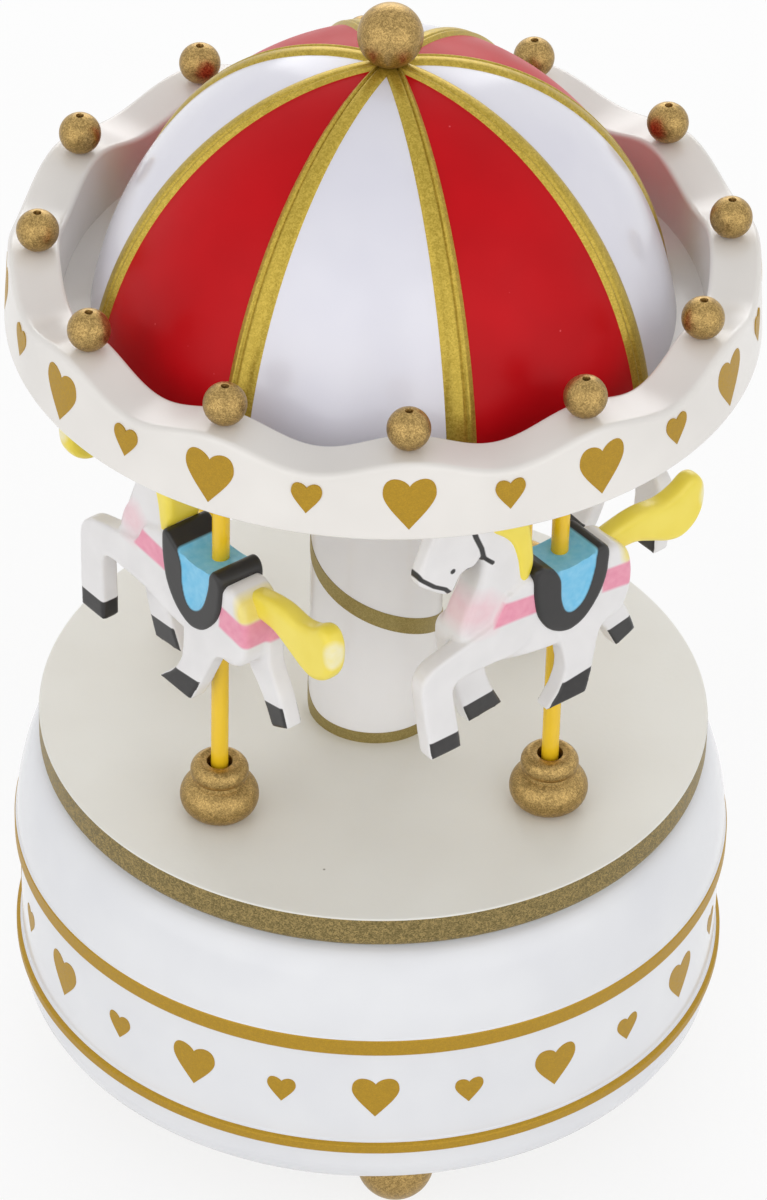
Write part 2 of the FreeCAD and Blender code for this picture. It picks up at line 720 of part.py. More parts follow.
# Turning train: shaft and crown wheel, drum, governor wheel and fly
def winding_shaft():
    pivot_end = f"({HOUSING_BOTTOM} + housing_floor + running_gap)"
    shaft = cylinder("shaft_body", "shaft_dia / 2", f"{PLATFORM_TOP} + hub_height - {pivot_end}", pivot_end)
    pivot = cylinder("shaft_pivot", "pivot_dia / 2", "housing_floor + running_gap", HOUSING_BOTTOM)
    keep("winding_shaft", fuse("winding_shaft", [shaft, pivot]))

    rim = "crown_pitch_radius + crown_face / 2 + cover_gap"
    blank = cylinder("crown_blank", rim, "wheel_thickness", WHEEL_UNDER)
    pitch = "(2 * pi * crown_pitch_radius / crown_teeth)"
    half_root = f"({pitch} * {TOOTH_SHARE} / 2 + {TOOTH_SLOPE} * crown_tooth_depth / 2)"
    half_tip = f"({pitch} * {TOOTH_SHARE} / 2 - {TOOTH_SLOPE} * crown_tooth_depth / 2)"
    tooth = padded("crown_tooth", "YZ_Plane", [
        (f"-{half_tip}", "-crown_tooth_depth"),
        (half_tip, "-crown_tooth_depth"),
        (half_root, "0"),
        (half_root, "wheel_thickness / 2"),
        (f"-{half_root}", "wheel_thickness / 2"),
        (f"-{half_root}", "0"),
    ], "crown_face")
    bind(tooth, x="crown_pitch_radius - crown_face / 2", z=WHEEL_UNDER)
    teeth = copies_about_z("crown_tooth", tooth, "crown_teeth")
    hole = cylinder("crown_hole", "shaft_dia / 2 + fit_gap", "wheel_thickness", WHEEL_UNDER)
    keep("crown_wheel", cut("crown_wheel", fuse("crown_toothed", [blank, *teeth]), [hole]))


def drum_parts():
    pinion_start = "(crown_pitch_radius - pinion_face / 2)"
    module = f"(2 * {PINION_RADIUS} / pinion_teeth)"
    first_gap_up = "90 + 180 / pinion_teeth"
    pinion = spur_gear(
        "pinion", "pinion_teeth", module, "pinion_face", pinion_start, "0", DRUM_LEVEL, first_gap_up
    )
    arbor_length = f"{END_PLATE_FAR} - {pinion_start}"
    arbor = rod("drum_arbor", "arbor_dia / 2", arbor_length, pinion_start, "0", DRUM_LEVEL)
    keep("cylinder_arbor", fuse("cylinder_arbor", [arbor, pinion]))

    bore_radius = "arbor_dia / 2 + fit_gap"
    drum = rod("drum_blank", "drum_radius", DRUM_LENGTH, "drum_start", "0", DRUM_LEVEL)
    bore = rod("drum_bore", bore_radius, DRUM_LENGTH, "drum_start", "0", DRUM_LEVEL)
    pins = []
    for note in range(round(value("drum_notes"))):
        for beat, pin_angle in enumerate(PIN_ANGLES):
            angle = (note * PIN_TURN + pin_angle) % 360
            pin = cylinder(f"drum_pin_{note}_{beat}", "drum_pin_dia / 2", "drum_radius / 2 + drum_pin_stand")
            pin.Placement = FreeCAD.Placement(Vector(), FreeCAD.Rotation(Vector(1, 0, 0), angle))
            pins.append(bind(
                pin, x=f"drum_start + ({note} + 0.5) * drum_pitch",
                y=f"-drum_radius / 2 * sin({angle})", z=f"{DRUM_LEVEL} + drum_radius / 2 * cos({angle})"
            ))
    keep("pinned_cylinder", cut("pinned_cylinder", fuse("drum_and_pins", [drum, *pins]), [bore]))

    tooth_down = "270"
    wheel = spur_gear(
        "drum_gear_blank", "gear_teeth", "gear_module", "gear_face",
        DRUM_GEAR_START, "0", DRUM_LEVEL, tooth_down
    )
    wheel_bore = rod("drum_gear_bore", bore_radius, "gear_face", DRUM_GEAR_START, "0", DRUM_LEVEL)
    keep("cylinder_gear", cut("cylinder_gear", wheel, [wheel_bore]))


def governor():
    arbor_length = f"{END_PLATE_FAR} - {END_PLATE_INNER}"
    gap_up = "90 + 180 / leaf_teeth"
    tooth_left = "180"
    keep("governor_wheel", fuse("governor_wheel", [
        rod("governor_arbor", "wheel_arbor_dia / 2", arbor_length, END_PLATE_INNER, "0", GOVERNOR_LEVEL),
        spur_gear("governor_leaves", "leaf_teeth", "gear_module", "gear_face",
                  DRUM_GEAR_START, "0", GOVERNOR_LEVEL, gap_up),
        spur_gear("governor_gear", "gear_teeth", "gear_module", "gear_face",
                  WHEEL_GEAR_START, "0", GOVERNOR_LEVEL, tooth_left),
    ]))
    fly_y = f"-{GEAR_CENTRES}"
    gap_right = "180 / leaf_teeth"
    keep("fly", fuse("fly", [
        rod("fly_arbor", "wheel_arbor_dia / 2", arbor_length, END_PLATE_INNER, fly_y, GOVERNOR_LEVEL),
        spur_gear("fly_leaves", "leaf_teeth", "gear_module", "gear_face",
                  WHEEL_GEAR_START, fly_y, GOVERNOR_LEVEL, gap_right),
        box("fly_vane", f"{DRUM_LENGTH} - 4 * overlap", "fly_thickness", "2 * fly_radius",
            "drum_start + 2 * overlap", f"{fly_y} - fly_thickness / 2", f"{GOVERNOR_LEVEL} - fly_radius"),
    ]))


# Platform, and the hub that holds it and the column on the shaft
def platform():
    bore = "shaft_dia / 2 + fit_gap"
    disc = lathe("platform_blank", [
        (bore, PLATFORM_UNDER),
        ("platform_radius - platform_round", PLATFORM_UNDER, "platform_round", 1),
        ("platform_radius", f"{PLATFORM_UNDER} + platform_round"),
        ("platform_radius", f"{PLATFORM_TOP} - platform_edge"),
        ("platform_radius - platform_edge", PLATFORM_TOP),
        (bore, PLATFORM_TOP),
    ])
    pole_hole = cylinder(
        "platform_pole_hole", "pole_dia / 2 + fit_gap", "pole_socket", f"{PLATFORM_TOP} - pole_socket",
        "pole_circle"
    )
    screw_hole = cylinder(
        "platform_screw_hole", "hub_screw_dia / 2 + fit_gap", "hub_screw_grip",
        f"{PLATFORM_TOP} - hub_screw_grip", "hub_screw_circle"
    )
    holes = copies_about_z("platform_pole_hole", pole_hole, "pole_count", "pole_turn")
    holes += copies_about_z("platform_screw_hole", screw_hole, "hub_screw_count")
    keep("platform_disc", cut("platform_disc", disc, holes))

    inside = "(column_radius - column_wall)"
    hub = cylinder("hub_blank", f"{inside} - fit_gap", "hub_height", PLATFORM_TOP)
    hub_bore = cylinder("hub_bore", bore, "hub_height", PLATFORM_TOP)
    hub_hole = cylinder(
        "hub_screw_hole", "hub_screw_dia / 2 + fit_gap", "hub_height", PLATFORM_TOP, "hub_screw_circle"
    )
    hub_holes = copies_about_z("hub_screw_hole", hub_hole, "hub_screw_count")
    keep("column_hub", cut("column_hub", hub, [hub_bore, *hub_holes]))
    hub_screw = screw(
        "hub_screw", "hub_screw_dia", "hub_height + hub_screw_grip - tip_gap", f"{PLATFORM_TOP} + hub_height",
        "hub_screw_circle", "0", -1
    )
    keep("hub_screws", group("hub_screws", copies_about_z("hub_screw", hub_screw, "hub_screw_count")))
    tube = cylinder("column_outside", "column_radius", "column_height", PLATFORM_TOP)
    keep("centre_column", cut(
        "centre_column", tube, [cylinder("column_inside", inside, "column_height", PLATFORM_TOP)]
    ))


def numbered(name, count):
    return [f"{name}_{index + 1}" for index in range(round(value(count)))]


def poles_and_beads():
    pole_start = f"({PLATFORM_TOP} - pole_socket)"
    pole = cylinder("pole", "pole_dia / 2", f"{PLATE_TOP} - {pole_start}", pole_start, "pole_circle")
    keep_each(numbered("pole", "pole_count"), copies_about_z("pole", pole, "pole_count", "pole_turn - 90"))
    bead = lathe("bead", [
        ("bead_bore / 2", "0"),
        ("bead_foot / 2", "0", "bead_belly_round", 1),
        ("bead_neck / 2", "bead_belly_height", "bead_shoulder_round", 1),
        ("bead_top / 2", "bead_height"),
        ("bead_bore / 2", "bead_height"),
    ])
    bind(bead, x="pole_circle", z=PLATFORM_TOP)
    beads = copies_about_z("bead", bead, "pole_count", "pole_turn - 90")
    keep_each(numbered("pole_bead", "pole_count"), beads)


# Horse, in its own frame: u forward from the pole, w above the platform. A moulded figure whose trunk, head
# and tail have smooth outlines; its legs stand side by side, the near pair outside.
TRUNK = [(-11.2, 41.5), (-9.6, 46.4), (-6, 49.6), (-1.5, 47.6), (4, 48), (9, 50.5), (15, 50), (20.5, 48.5),
         (22, 44.5), (18, 38), (9, 35), (0, 33.2), (-6, 33.6), (-10, 36.5)]
NECK_AND_HEAD = [(8.3, 48), (8.2, 55), (10, 63), (13.5, 69.2), (18, 69.6), (23.5, 66.6), (29.3, 60.2),
                 (30, 57), (26, 52.6), (23, 51), (20.5, 54), (18.3, 54.4), (20, 50.5), (20.5, 46), (14, 43)]
TAIL = [(-8, 47.6), (-12, 48.6), (-16, 48.7), (-20, 48.4), (-23.5, 50), (-26.6, 49.8), (-28, 46.6),
        (-27.3, 42.8), (-24.6, 39.4), (-20, 39.3), (-15, 41), (-9, 42)]
SADDLE = [(7.4, 47.5), (8, 43), (6, 38), (2.6, 35.2), (-1.8, 35.2), (-4.8, 38), (-5.9, 43), (-6.4, 49.6),
          (-4.6, 50.4), (-1.5, 47.6), (3, 47.8), (6.6, 52), (8.4, 51.6)]
NEAR_FORELEG = [(13, 46), (20, 45), (25.5, 42.4), (28.4, 40), (28.2, 33), (27.3, 24.3), (21.6, 24.3),
                (22.6, 30), (23.2, 35.4), (16, 35.8), (9, 36)]
NEAR_HINDLEG = [(-9, 42), (3.4, 37), (3.6, 30.5), (5.2, 26.6), (7.2, 24.3), (-0.8, 24.3), (-2.3, 27.4),
                (-3.8, 31.5), (-9, 35.5)]
FAR_FORELEG = [(12, 42), (20.5, 42), (20.5, 36), (17.4, 26.2), (16.4, 24.3), (10.4, 24.3), (12, 27.3),
               (13.5, 36)]
FAR_HINDLEG = [(-3, 40), (-4, 35), (-9.8, 28), (-10.4, 24.9), (-16.6, 25), (-17.2, 27), (-14.8, 31),
               (-10.4, 40)]
TRUNK_HALF = 3.5
HEAD_HALF = 2.3
SADDLE_HALF = 3.9
TAIL_SIDES = (-2.6, 0.8)
NEAR_LEG_SIDES = (1.6, 4.6)
FAR_LEG_SIDES = (-3.6, -0.6)


def slab(points, low, high, smooth=False):
    """A plate in the horse's frame, between two distances outward from its middle plane."""
    corners = [Vector(u, low, w) for u, w in points]
    if smooth:
        curve = Part.BSplineCurve()
        curve.interpolate(Points=corners, PeriodicFlag=True)
        wire = Part.Wire([curve.toShape()])
    else:
        wire = Part.makePolygon([*corners, corners[0]])
    return Part.Face(wire).extrude(Vector(0, high - low, 0))


def horses():
    size = value("horse_size")
    figure = slab(TRUNK, -TRUNK_HALF, TRUNK_HALF, smooth=True).multiFuse([
        slab(NECK_AND_HEAD, -HEAD_HALF, HEAD_HALF, smooth=True),
        slab(TAIL, *TAIL_SIDES, smooth=True),
        slab(SADDLE, -SADDLE_HALF, SADDLE_HALF),
        slab(NEAR_FORELEG, *NEAR_LEG_SIDES),
        slab(NEAR_HINDLEG, *NEAR_LEG_SIDES),
        slab(FAR_FORELEG, *FAR_LEG_SIDES),
        slab(FAR_HINDLEG, *FAR_LEG_SIDES),
    ])
    figure.scale(size)
    figure.translate(Vector(0, value("horse_outset"), 0))
    pole_hole = Part.makeCylinder(value("pole_dia / 2 + fit_gap"), value("column_height"))
    horse = doc.addObject("Part::Feature", "horse")
    horse.Shape = figure.cut(pole_hole).removeSplitter()
    heading = FreeCAD.Rotation(Z_AXIS, -90 - value("horse_inward"))
    horse.Placement = FreeCAD.Placement(Vector(value("pole_circle"), 0, value(PLATFORM_TOP)), heading)
    keep_each(numbered("horse", "pole_count"), copies_about_z("horse", horse, "pole_count", "pole_turn - 90"))


# Canopy: plate, wavy ring with its beads, dome with ribs, finial
def canopy_plate():
    spigot_radius = "column_radius - column_wall - fit_gap"
    disc = cylinder("plate_disc", "plate_radius", "plate_thickness", CANOPY_UNDER)
    spigot_end = f"({CANOPY_UNDER} - spigot_height)"
    spigot = cylinder("plate_spigot", spigot_radius, "spigot_height + plate_thickness", spigot_end)
    spigot_bore = cylinder("plate_spigot_bore", f"{spigot_radius} - column_wall", "spigot_height", spigot_end)
    pole_hole = cylinder(
        "plate_pole_hole", "pole_dia / 2 + fit_gap", "plate_thickness", CANOPY_UNDER, "pole_circle"
    )
    screw_hole = cylinder(
        "plate_screw_hole", "canopy_screw_dia / 2 + fit_gap", "plate_thickness", CANOPY_UNDER,
        "canopy_screw_circle"
    )
    holes = [spigot_bore, *copies_about_z("plate_pole_hole", pole_hole, "pole_count", "pole_turn")]
    holes += copies_about_z("plate_screw_hole", screw_hole, "canopy_screw_count")
    keep("canopy_plate", cut("canopy_plate", fuse("plate_and_spigot", [disc, spigot]), holes))
    plate_screw = screw(
        "canopy_screw", "canopy_screw_dia", "plate_thickness + canopy_screw_grip - tip_gap", CANOPY_UNDER,
        "canopy_screw_circle", "0"
    )
    plate_screws = copies_about_z("canopy_screw", plate_screw, "canopy_screw_count")
    keep("canopy_screws", group("canopy_screws", plate_screws))


def canopy_ring():
    recess = "plate_radius + cover_gap"
    blank = lathe("ring_blank", [
        (recess, CANOPY_UNDER),
        ("ring_radius - ring_edge", CANOPY_UNDER),
        ("ring_radius", f"{CANOPY_UNDER} + ring_edge"),
        ("ring_top_radius", f"{RING_TOP} - ring_edge"),
        ("ring_top_radius - ring_edge", RING_TOP),
        ("ring_inside + ring_edge", RING_TOP),
        ("ring_inside", f"{RING_TOP} - ring_edge"),
        ("ring_inside", PLATE_TOP),
        (recess, PLATE_TOP),
    ])
    wave_width = "(ring_radius - ring_inside + 2 * overlap)"
    wave_level = f"{RING_TOP} - wave_depth + wave_radius"
    wave = rod("wave", "wave_radius", wave_width, "ring_inside - overlap", "0", wave_level)
    waves = copies_about_z("wave", wave, "ring_waves", "180 / ring_waves - 90")
    screw_hole = cylinder(
        "ring_screw_hole", "canopy_screw_dia / 2 + fit_gap", "canopy_screw_grip", PLATE_TOP,
        "canopy_screw_circle"
    )
    pin_hole = cylinder(
        "ring_pin_hole", "crown_pin_dia / 2 + fit_gap", "crown_pin_depth", f"{RING_TOP} - crown_pin_depth",
        "crown_bead_circle"
    )
    holes = copies_about_z("ring_screw_hole", screw_hole, "canopy_screw_count")
    holes += copies_about_z("ring_pin_hole", pin_hole, "ring_waves")
    keep("canopy_ring", cut("canopy_ring", blank, waves + holes))

    ball = bind(
        doc.addObject("Part::Sphere", "crown_ball"), Radius="crown_bead_dia / 2",
        x="crown_bead_circle", z=f"{RING_TOP} + crown_bead_dia / 2 - crown_bead_flat"
    )
    seat_slab = cylinder("crown_seat", "crown_bead_dia", "2 * crown_bead_dia", RING_TOP, "crown_bead_circle")
    bore = cylinder(
        "crown_bore", "crown_pin_dia / 2 + fit_gap", "2 * crown_bead_dia", RING_TOP, "crown_bead_circle"
    )
    bead = cut("crown_bead", common("crown_bead_blank", ball, seat_slab), [bore])
    keep_each(numbered("crown_bead", "ring_waves"), copies_about_z("crown_bead", bead, "ring_waves", "-90"))
    pin = cylinder(
        "crown_pin", "crown_pin_dia / 2", "crown_pin_depth - tip_gap + crown_pin_stand",
        f"{RING_TOP} - crown_pin_depth + tip_gap", "crown_bead_circle"
    )
    keep("crown_pins", group("crown_pins", copies_about_z("crown_pin", pin, "ring_waves", "-90")))


def half_egg(name, radius, rise):
    """The part of an egg shape about the dome's centre that stands above the canopy plate."""
    egg = doc.addObject("Part::Ellipsoid", name + "_egg")
    bind(egg, Radius1=rise, Radius2=radius, Radius3=radius, z=DOME_CENTRE)
    egg.Angle1 = -90
    egg.Angle2 = 90
    above = cylinder(name + "_above", "2 * dome_radius", "2 * dome_rise", PLATE_TOP)
    return common(name, egg, above)


def dome():
    skin = half_egg("dome_skin", "dome_radius", "dome_rise")
    hollow = half_egg("dome_hollow", "dome_radius - dome_wall", "dome_rise - dome_wall")
    proud = half_egg("dome_proud", "dome_radius + rib_stand", "dome_rise + rib_stand")
    bars = []
    for index in range(round(value("rib_pairs"))):
        bar = box(f"rib_bar_{index}", "4 * dome_radius", "rib_width", "2 * dome_rise", "0", "0", PLATE_TOP)
        turn = f"(rib_turn - 90 + {index} * 180 / rib_pairs)"
        turned(bar, turn)
        bars.append(bind(
            bar, x=f"rib_width / 2 * sin({turn}) - 2 * dome_radius * cos({turn})",
            y=f"-rib_width / 2 * cos({turn}) - 2 * dome_radius * sin({turn})", z=PLATE_TOP
        ))
    ribs = common("dome_ribs", proud, fuse("rib_bars", bars))
    peg_hole = cylinder(
        "dome_peg_hole", "finial_peg_dia / 2 + fit_gap", "dome_rise + 2 * rib_stand", DOME_CENTRE
    )
    keep("dome", cut("dome", fuse("dome_ribbed", [skin, ribs]), [hollow, peg_hole]))


def finial():
    seat = f"({RIB_TOP} + fit_gap)"
    ball = bind(
        doc.addObject("Part::Sphere", "finial_sphere"), Radius="finial_dia / 2", z=f"{seat} + finial_centre"
    )
    above = cylinder("finial_above", "finial_dia", "2 * finial_dia", seat)
    peg_length = "finial_peg_length + overlap"
    peg = cylinder("finial_peg", "finial_peg_dia / 2", peg_length, f"{seat} - finial_peg_length")
    keep("finial_ball", fuse("finial_ball", [common("finial_top", ball, above), peg]))


base_shell()
feet_and_cover()
bedplate()
spring_parts()
end_plates()
comb()
winding_shaft()
drum_parts()
governor()
platform()
poles_and_beads()
horses()
canopy_plate()
canopy_ring()
dome()
finial()
doc.recompute()

failed = [item.Label for item in doc.Objects if {"Invalid", "Error"} & set(item.State)]
failed += [name for name, thing in parts.items() if thing.Shape.isNull() or not thing.Shape.isValid()]
if failed:
    raise SystemExit("failed: " + ", ".join(failed))

os.makedirs("parts", exist_ok=True)
for name, thing in parts.items():
    thing.Shape.exportStep(f"parts/{name}.step")
    print(f"{name}: {len(thing.Shape.Solids)} solids, {thing.Shape.Volume:.1f} mm3")
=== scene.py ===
import math

import bmesh
import bpy
import numpy as np
from mathutils import Matrix, Vector


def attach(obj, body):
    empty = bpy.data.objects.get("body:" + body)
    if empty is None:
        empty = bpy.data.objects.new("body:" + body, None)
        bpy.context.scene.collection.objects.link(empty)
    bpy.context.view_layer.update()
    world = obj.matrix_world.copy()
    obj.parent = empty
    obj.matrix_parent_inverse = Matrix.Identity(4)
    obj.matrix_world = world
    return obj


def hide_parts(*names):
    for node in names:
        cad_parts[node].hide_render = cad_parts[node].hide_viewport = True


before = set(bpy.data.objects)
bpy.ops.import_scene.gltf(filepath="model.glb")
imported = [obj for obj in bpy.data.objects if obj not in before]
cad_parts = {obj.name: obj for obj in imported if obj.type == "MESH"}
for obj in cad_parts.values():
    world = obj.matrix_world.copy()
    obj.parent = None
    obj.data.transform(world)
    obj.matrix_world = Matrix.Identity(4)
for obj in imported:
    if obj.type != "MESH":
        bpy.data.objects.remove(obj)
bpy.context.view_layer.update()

# Driving sizes of the real music box in millimetres, and turns in degrees; MM turns millimetres into metres
MM = 0.001
TAU = math.tau

SHELL_UNDER = 11.2
BAND_RADIUS = 54.0
DECK_TOP = 55.7
FOOT_CIRCLE = 41.7
FOOT_TURN = 2.5
PLATFORM_UNDER = 56.4
PLATFORM_TOP = 61.9
PLATFORM_RADIUS = 50.9
COLUMN_RADIUS = 10.0
POLE_COUNT = 4
POLE_CIRCLE = 34.7
POLE_TURN = 45
POLE_RADIUS = 1.3
CANOPY_UNDER = 134.2
PLATE_TOP = 136.4
RING_TOP = 146.8
WAVE_COUNT = 12
WAVE_DEPTH = 2.7
DOME_RADIUS = 43.3
DOME_RISE = 51.0
DOME_CENTRE = 126.2
RIB_COUNT = 8
RIB_TURN = 11.4
FINIAL_CENTRE = 181.73


def colour(hex_text):
    """sRGB hex to linear RGBA."""
    channels = [int(hex_text[i:i + 2], 16) / 255 for i in (1, 3, 5)]
    linear = [c / 12.92 if c <= 0.04045 else ((c + 0.055) / 1.055) ** 2.4 for c in channels]
    return (*linear, 1.0)


def add(tree, kind, values=None, stops=(), **settings):
    """A node with its settings; values go to its inputs as constants or as links from sockets or nodes."""
    node = tree.nodes.new(kind)
    for key, setting in settings.items():
        setattr(node, key, setting)
    for element, (position, hex_text) in zip(node.color_ramp.elements if stops else (), stops):
        element.position = position
        element.color = colour(hex_text)
    for key, item in (values or {}).items():
        if isinstance(item, bpy.types.Node):
            item = item.outputs[0]
        if isinstance(item, bpy.types.NodeSocket):
            tree.links.new(item, node.inputs[key])
        else:
            node.inputs[key].default_value = item
    return node


# Materials

# Widths in millimetres of what shows in the finishes
FLOW_CLOUD = 14
DUST_SPACING = 4
HANDLED_SPOT = 5
PEEL_WIDTH = 2.6
BOARD_CLOUD = 20
BOARD_SPECK_SPACING = 9
BOARD_FIBRE = 0.9
FIGURE_CLOUD = 6
BRUSH_STROKE = 1.2
PAPER_CLOUD = 60
# Heights in millimetres of what can be felt on them
FIBRE_RELIEF = 0.02
BRUSH_RELIEF = 0.015
# Most values of a cloud pattern lie between these two
CLOUD_LOW = 0.3
CLOUD_HIGH = 0.7
# Refraction of the moulded plastics and of the painted PVC
PLASTIC_IOR = 1.53
PVC_IOR = 1.52


def start_finish(name):
    """A new material, its empty node tree and its object coordinates in millimetres."""
    material = bpy.data.materials.new(name)
    material.use_nodes = True
    tree = material.node_tree
    tree.nodes.clear()
    metres = add(tree, "ShaderNodeTexCoord").outputs["Object"]
    place = add(tree, "ShaderNodeVectorMath", {0: metres, 1: (1 / MM, 1 / MM, 1 / MM)}, operation="MULTIPLY")
    return material, tree, place


def moulded_plastic(name, first, second, roughness, peel=0.004, shine=0.5, speck=None):
    """Polished moulding: faint flow clouds, uneven gloss, slight waviness and, if asked for, dust specks."""
    material, tree, place = start_finish(name)
    clouds = add(tree, "ShaderNodeTexNoise", {"Vector": place, "Scale": 1 / FLOW_CLOUD})
    tone = add(tree, "ShaderNodeValToRGB", {"Fac": clouds}, [(CLOUD_LOW, first), (CLOUD_HIGH, second)])
    if speck:
        cells = add(tree, "ShaderNodeTexVoronoi", {"Vector": place, "Scale": 1 / DUST_SPACING})
        dust = add(tree, "ShaderNodeMapRange", {
            "Value": cells, "From Min": 0.02, "From Max": 0.045, "To Min": 0.8, "To Max": 0.0,
        })
        specks = {0: dust, 6: tone, 7: colour(speck)}
        tone = add(tree, "ShaderNodeMix", specks, data_type="RGBA").outputs[2]
    handled = add(tree, "ShaderNodeTexNoise", {"Vector": place, "Scale": 1 / HANDLED_SPOT, "Detail": 4})
    gloss = add(tree, "ShaderNodeMapRange", {
        "Value": handled, "To Min": roughness * 0.8, "To Max": roughness * 1.25,
    })
    ripple = add(tree, "ShaderNodeTexNoise", {"Vector": place, "Scale": 1 / PEEL_WIDTH})
    relief = add(tree, "ShaderNodeBump", {"Height": ripple, "Distance": peel * MM, "Strength": 1.0})
    shader = add(tree, "ShaderNodeBsdfPrincipled", {
        "Base Color": tone, "Roughness": gloss, "IOR": PLASTIC_IOR, "Normal": relief,
        "Specular IOR Level": shine,
    })
    add(tree, "ShaderNodeOutputMaterial", {"Surface": shader})
    return material


def gold_lacquer(name, dark, bright, roughness, grain, depth, metallic):
    """Gold lacquer: metal flakes that catch the light one by one in a slightly rough, clouded coat.

    Real flakes are too fine to show, so they are drawn a few times as coarse.
    """
    material, tree, place = start_finish(name)
    flakes = add(tree, "ShaderNodeTexVoronoi", {"Vector": place, "Scale": 1 / grain}).outputs["Color"]
    flake = add(tree, "ShaderNodeSeparateColor", {"Color": flakes})
    cloud = add(tree, "ShaderNodeTexNoise", {"Vector": place, "Scale": 1 / (4 * grain), "Detail": 4})
    blend = add(tree, "ShaderNodeMath", {0: flake, 1: cloud}, operation="MULTIPLY")
    tone = add(tree, "ShaderNodeValToRGB", {"Fac": blend}, [(0.05, dark), (0.5, bright)])
    gloss = add(tree, "ShaderNodeMapRange", {
        "Value": flake, "To Min": roughness * 0.75, "To Max": roughness * 1.3,
    })
    relief = add(tree, "ShaderNodeBump", {"Height": blend, "Distance": depth * MM, "Strength": 1.0})
    shader = add(tree, "ShaderNodeBsdfPrincipled", {
        "Base Color": tone, "Roughness": gloss, "Metallic": metallic, "Normal": relief,
    })
    add(tree, "ShaderNodeOutputMaterial", {"Surface": shader})
    return material


# Base shell: polished white ABS, cool white and glossy
WHITE_ABS = moulded_plastic("white_ABS", "#E4E5E9", "#EAEBEE", roughness=0.16)
# Canopy ring and plate: ivory ABS, a little warmer and softer in its gloss
IVORY_ABS = moulded_plastic("ivory_ABS", "#E6E2DD", "#EDE9E4", roughness=0.24)
# Column tube: white polystyrene, bright and glossy
COLUMN_PS = moulded_plastic("white_polystyrene", "#EFEEF0", "#F4F3F4", roughness=0.2)
# Dome: white lacquer with a wet gloss, and deep red lacquer, softer, with a little dust caught in it
WHITE_LACQUER = moulded_plastic("white_lacquer", "#E1E0EB", "#E7E6EF", roughness=0.18)
RED_LACQUER = moulded_plastic(
    "red_lacquer", "#BC0712", "#C80915", roughness=0.34, shine=0.12, speck="#E8636A"
)
# Poles: bright yellow enamel, glossy
YELLOW_PAINT = moulded_plastic("yellow_enamel", "#EDC01C", "#F2C822", roughness=0.22)
# Hot stamped gold on the shells: flat mustard gold with a faint metallic sheen
GOLD_FOIL = gold_lacquer(
    "gold_hot_foil", "#A98312", "#BA921B", roughness=0.45, grain=0.14, depth=0.002, metallic=0.3
)
# Beads, feet and finial: antique gold lacquer over turned wood, fine grained, with a soft broad shine
GOLD_BEAD = gold_lacquer(
    "antique_gold_lacquer", "#8C7344", "#C6A669", roughness=0.4, grain=0.16, depth=0.008, metallic=0.9
)
# Ribs of the dome: yellow gold paint, satin
GOLD_RIB = gold_lacquer(
    "yellow_gold_paint", "#A48C2E", "#C4AA48", roughness=0.38, grain=0.2, depth=0.006, metallic=0.6
)
# Platform edge: gold glitter paint, dull with single bright grains
GOLD_EDGE = gold_lacquer(
    "gold_glitter_paint", "#6A5D36", "#AB9560", roughness=0.5, grain=0.18, depth=0.015, metallic=0.7
)
# Column ribbon: olive gold satin, smooth
GOLD_RIBBON = gold_lacquer(
    "olive_gold_satin", "#8F7F48", "#AD9B60", roughness=0.45, grain=0.12, depth=0.003, metallic=0.5
)


def painted_board():
    """Sprayed cream paint on fibreboard: matte, with a faint fibre texture and a few specks."""
    material, tree, place = start_finish("cream_painted_MDF")
    clouds = add(tree, "ShaderNodeTexNoise", {"Vector": place, "Scale": 1 / BOARD_CLOUD})
    creams = [(CLOUD_LOW, "#E7E5DE"), (CLOUD_HIGH, "#ECEBE5")]
    ground = add(tree, "ShaderNodeValToRGB", {"Fac": clouds}, creams)
    cells = add(tree, "ShaderNodeTexVoronoi", {"Vector": place, "Scale": 1 / BOARD_SPECK_SPACING})
    speck = add(tree, "ShaderNodeMapRange", {
        "Value": cells, "From Min": 0.012, "From Max": 0.03, "To Min": 1.0, "To Max": 0.0,
    })
    specks = {0: speck, 6: ground, 7: colour("#7A7468")}
    tone = add(tree, "ShaderNodeMix", specks, data_type="RGBA").outputs[2]
    fibres = add(tree, "ShaderNodeTexNoise", {"Vector": place, "Scale": 1 / BOARD_FIBRE, "Detail": 5})
    relief = add(tree, "ShaderNodeBump", {"Height": fibres, "Distance": FIBRE_RELIEF * MM, "Strength": 1.0})
    shader = add(tree, "ShaderNodeBsdfPrincipled", {"Base Color": tone, "Roughness": 0.55, "Normal": relief})
    add(tree, "ShaderNodeOutputMaterial", {"Surface": shader})
    return material


# Platform: cream painted fibreboard, matte
CREAM_BOARD = painted_board()


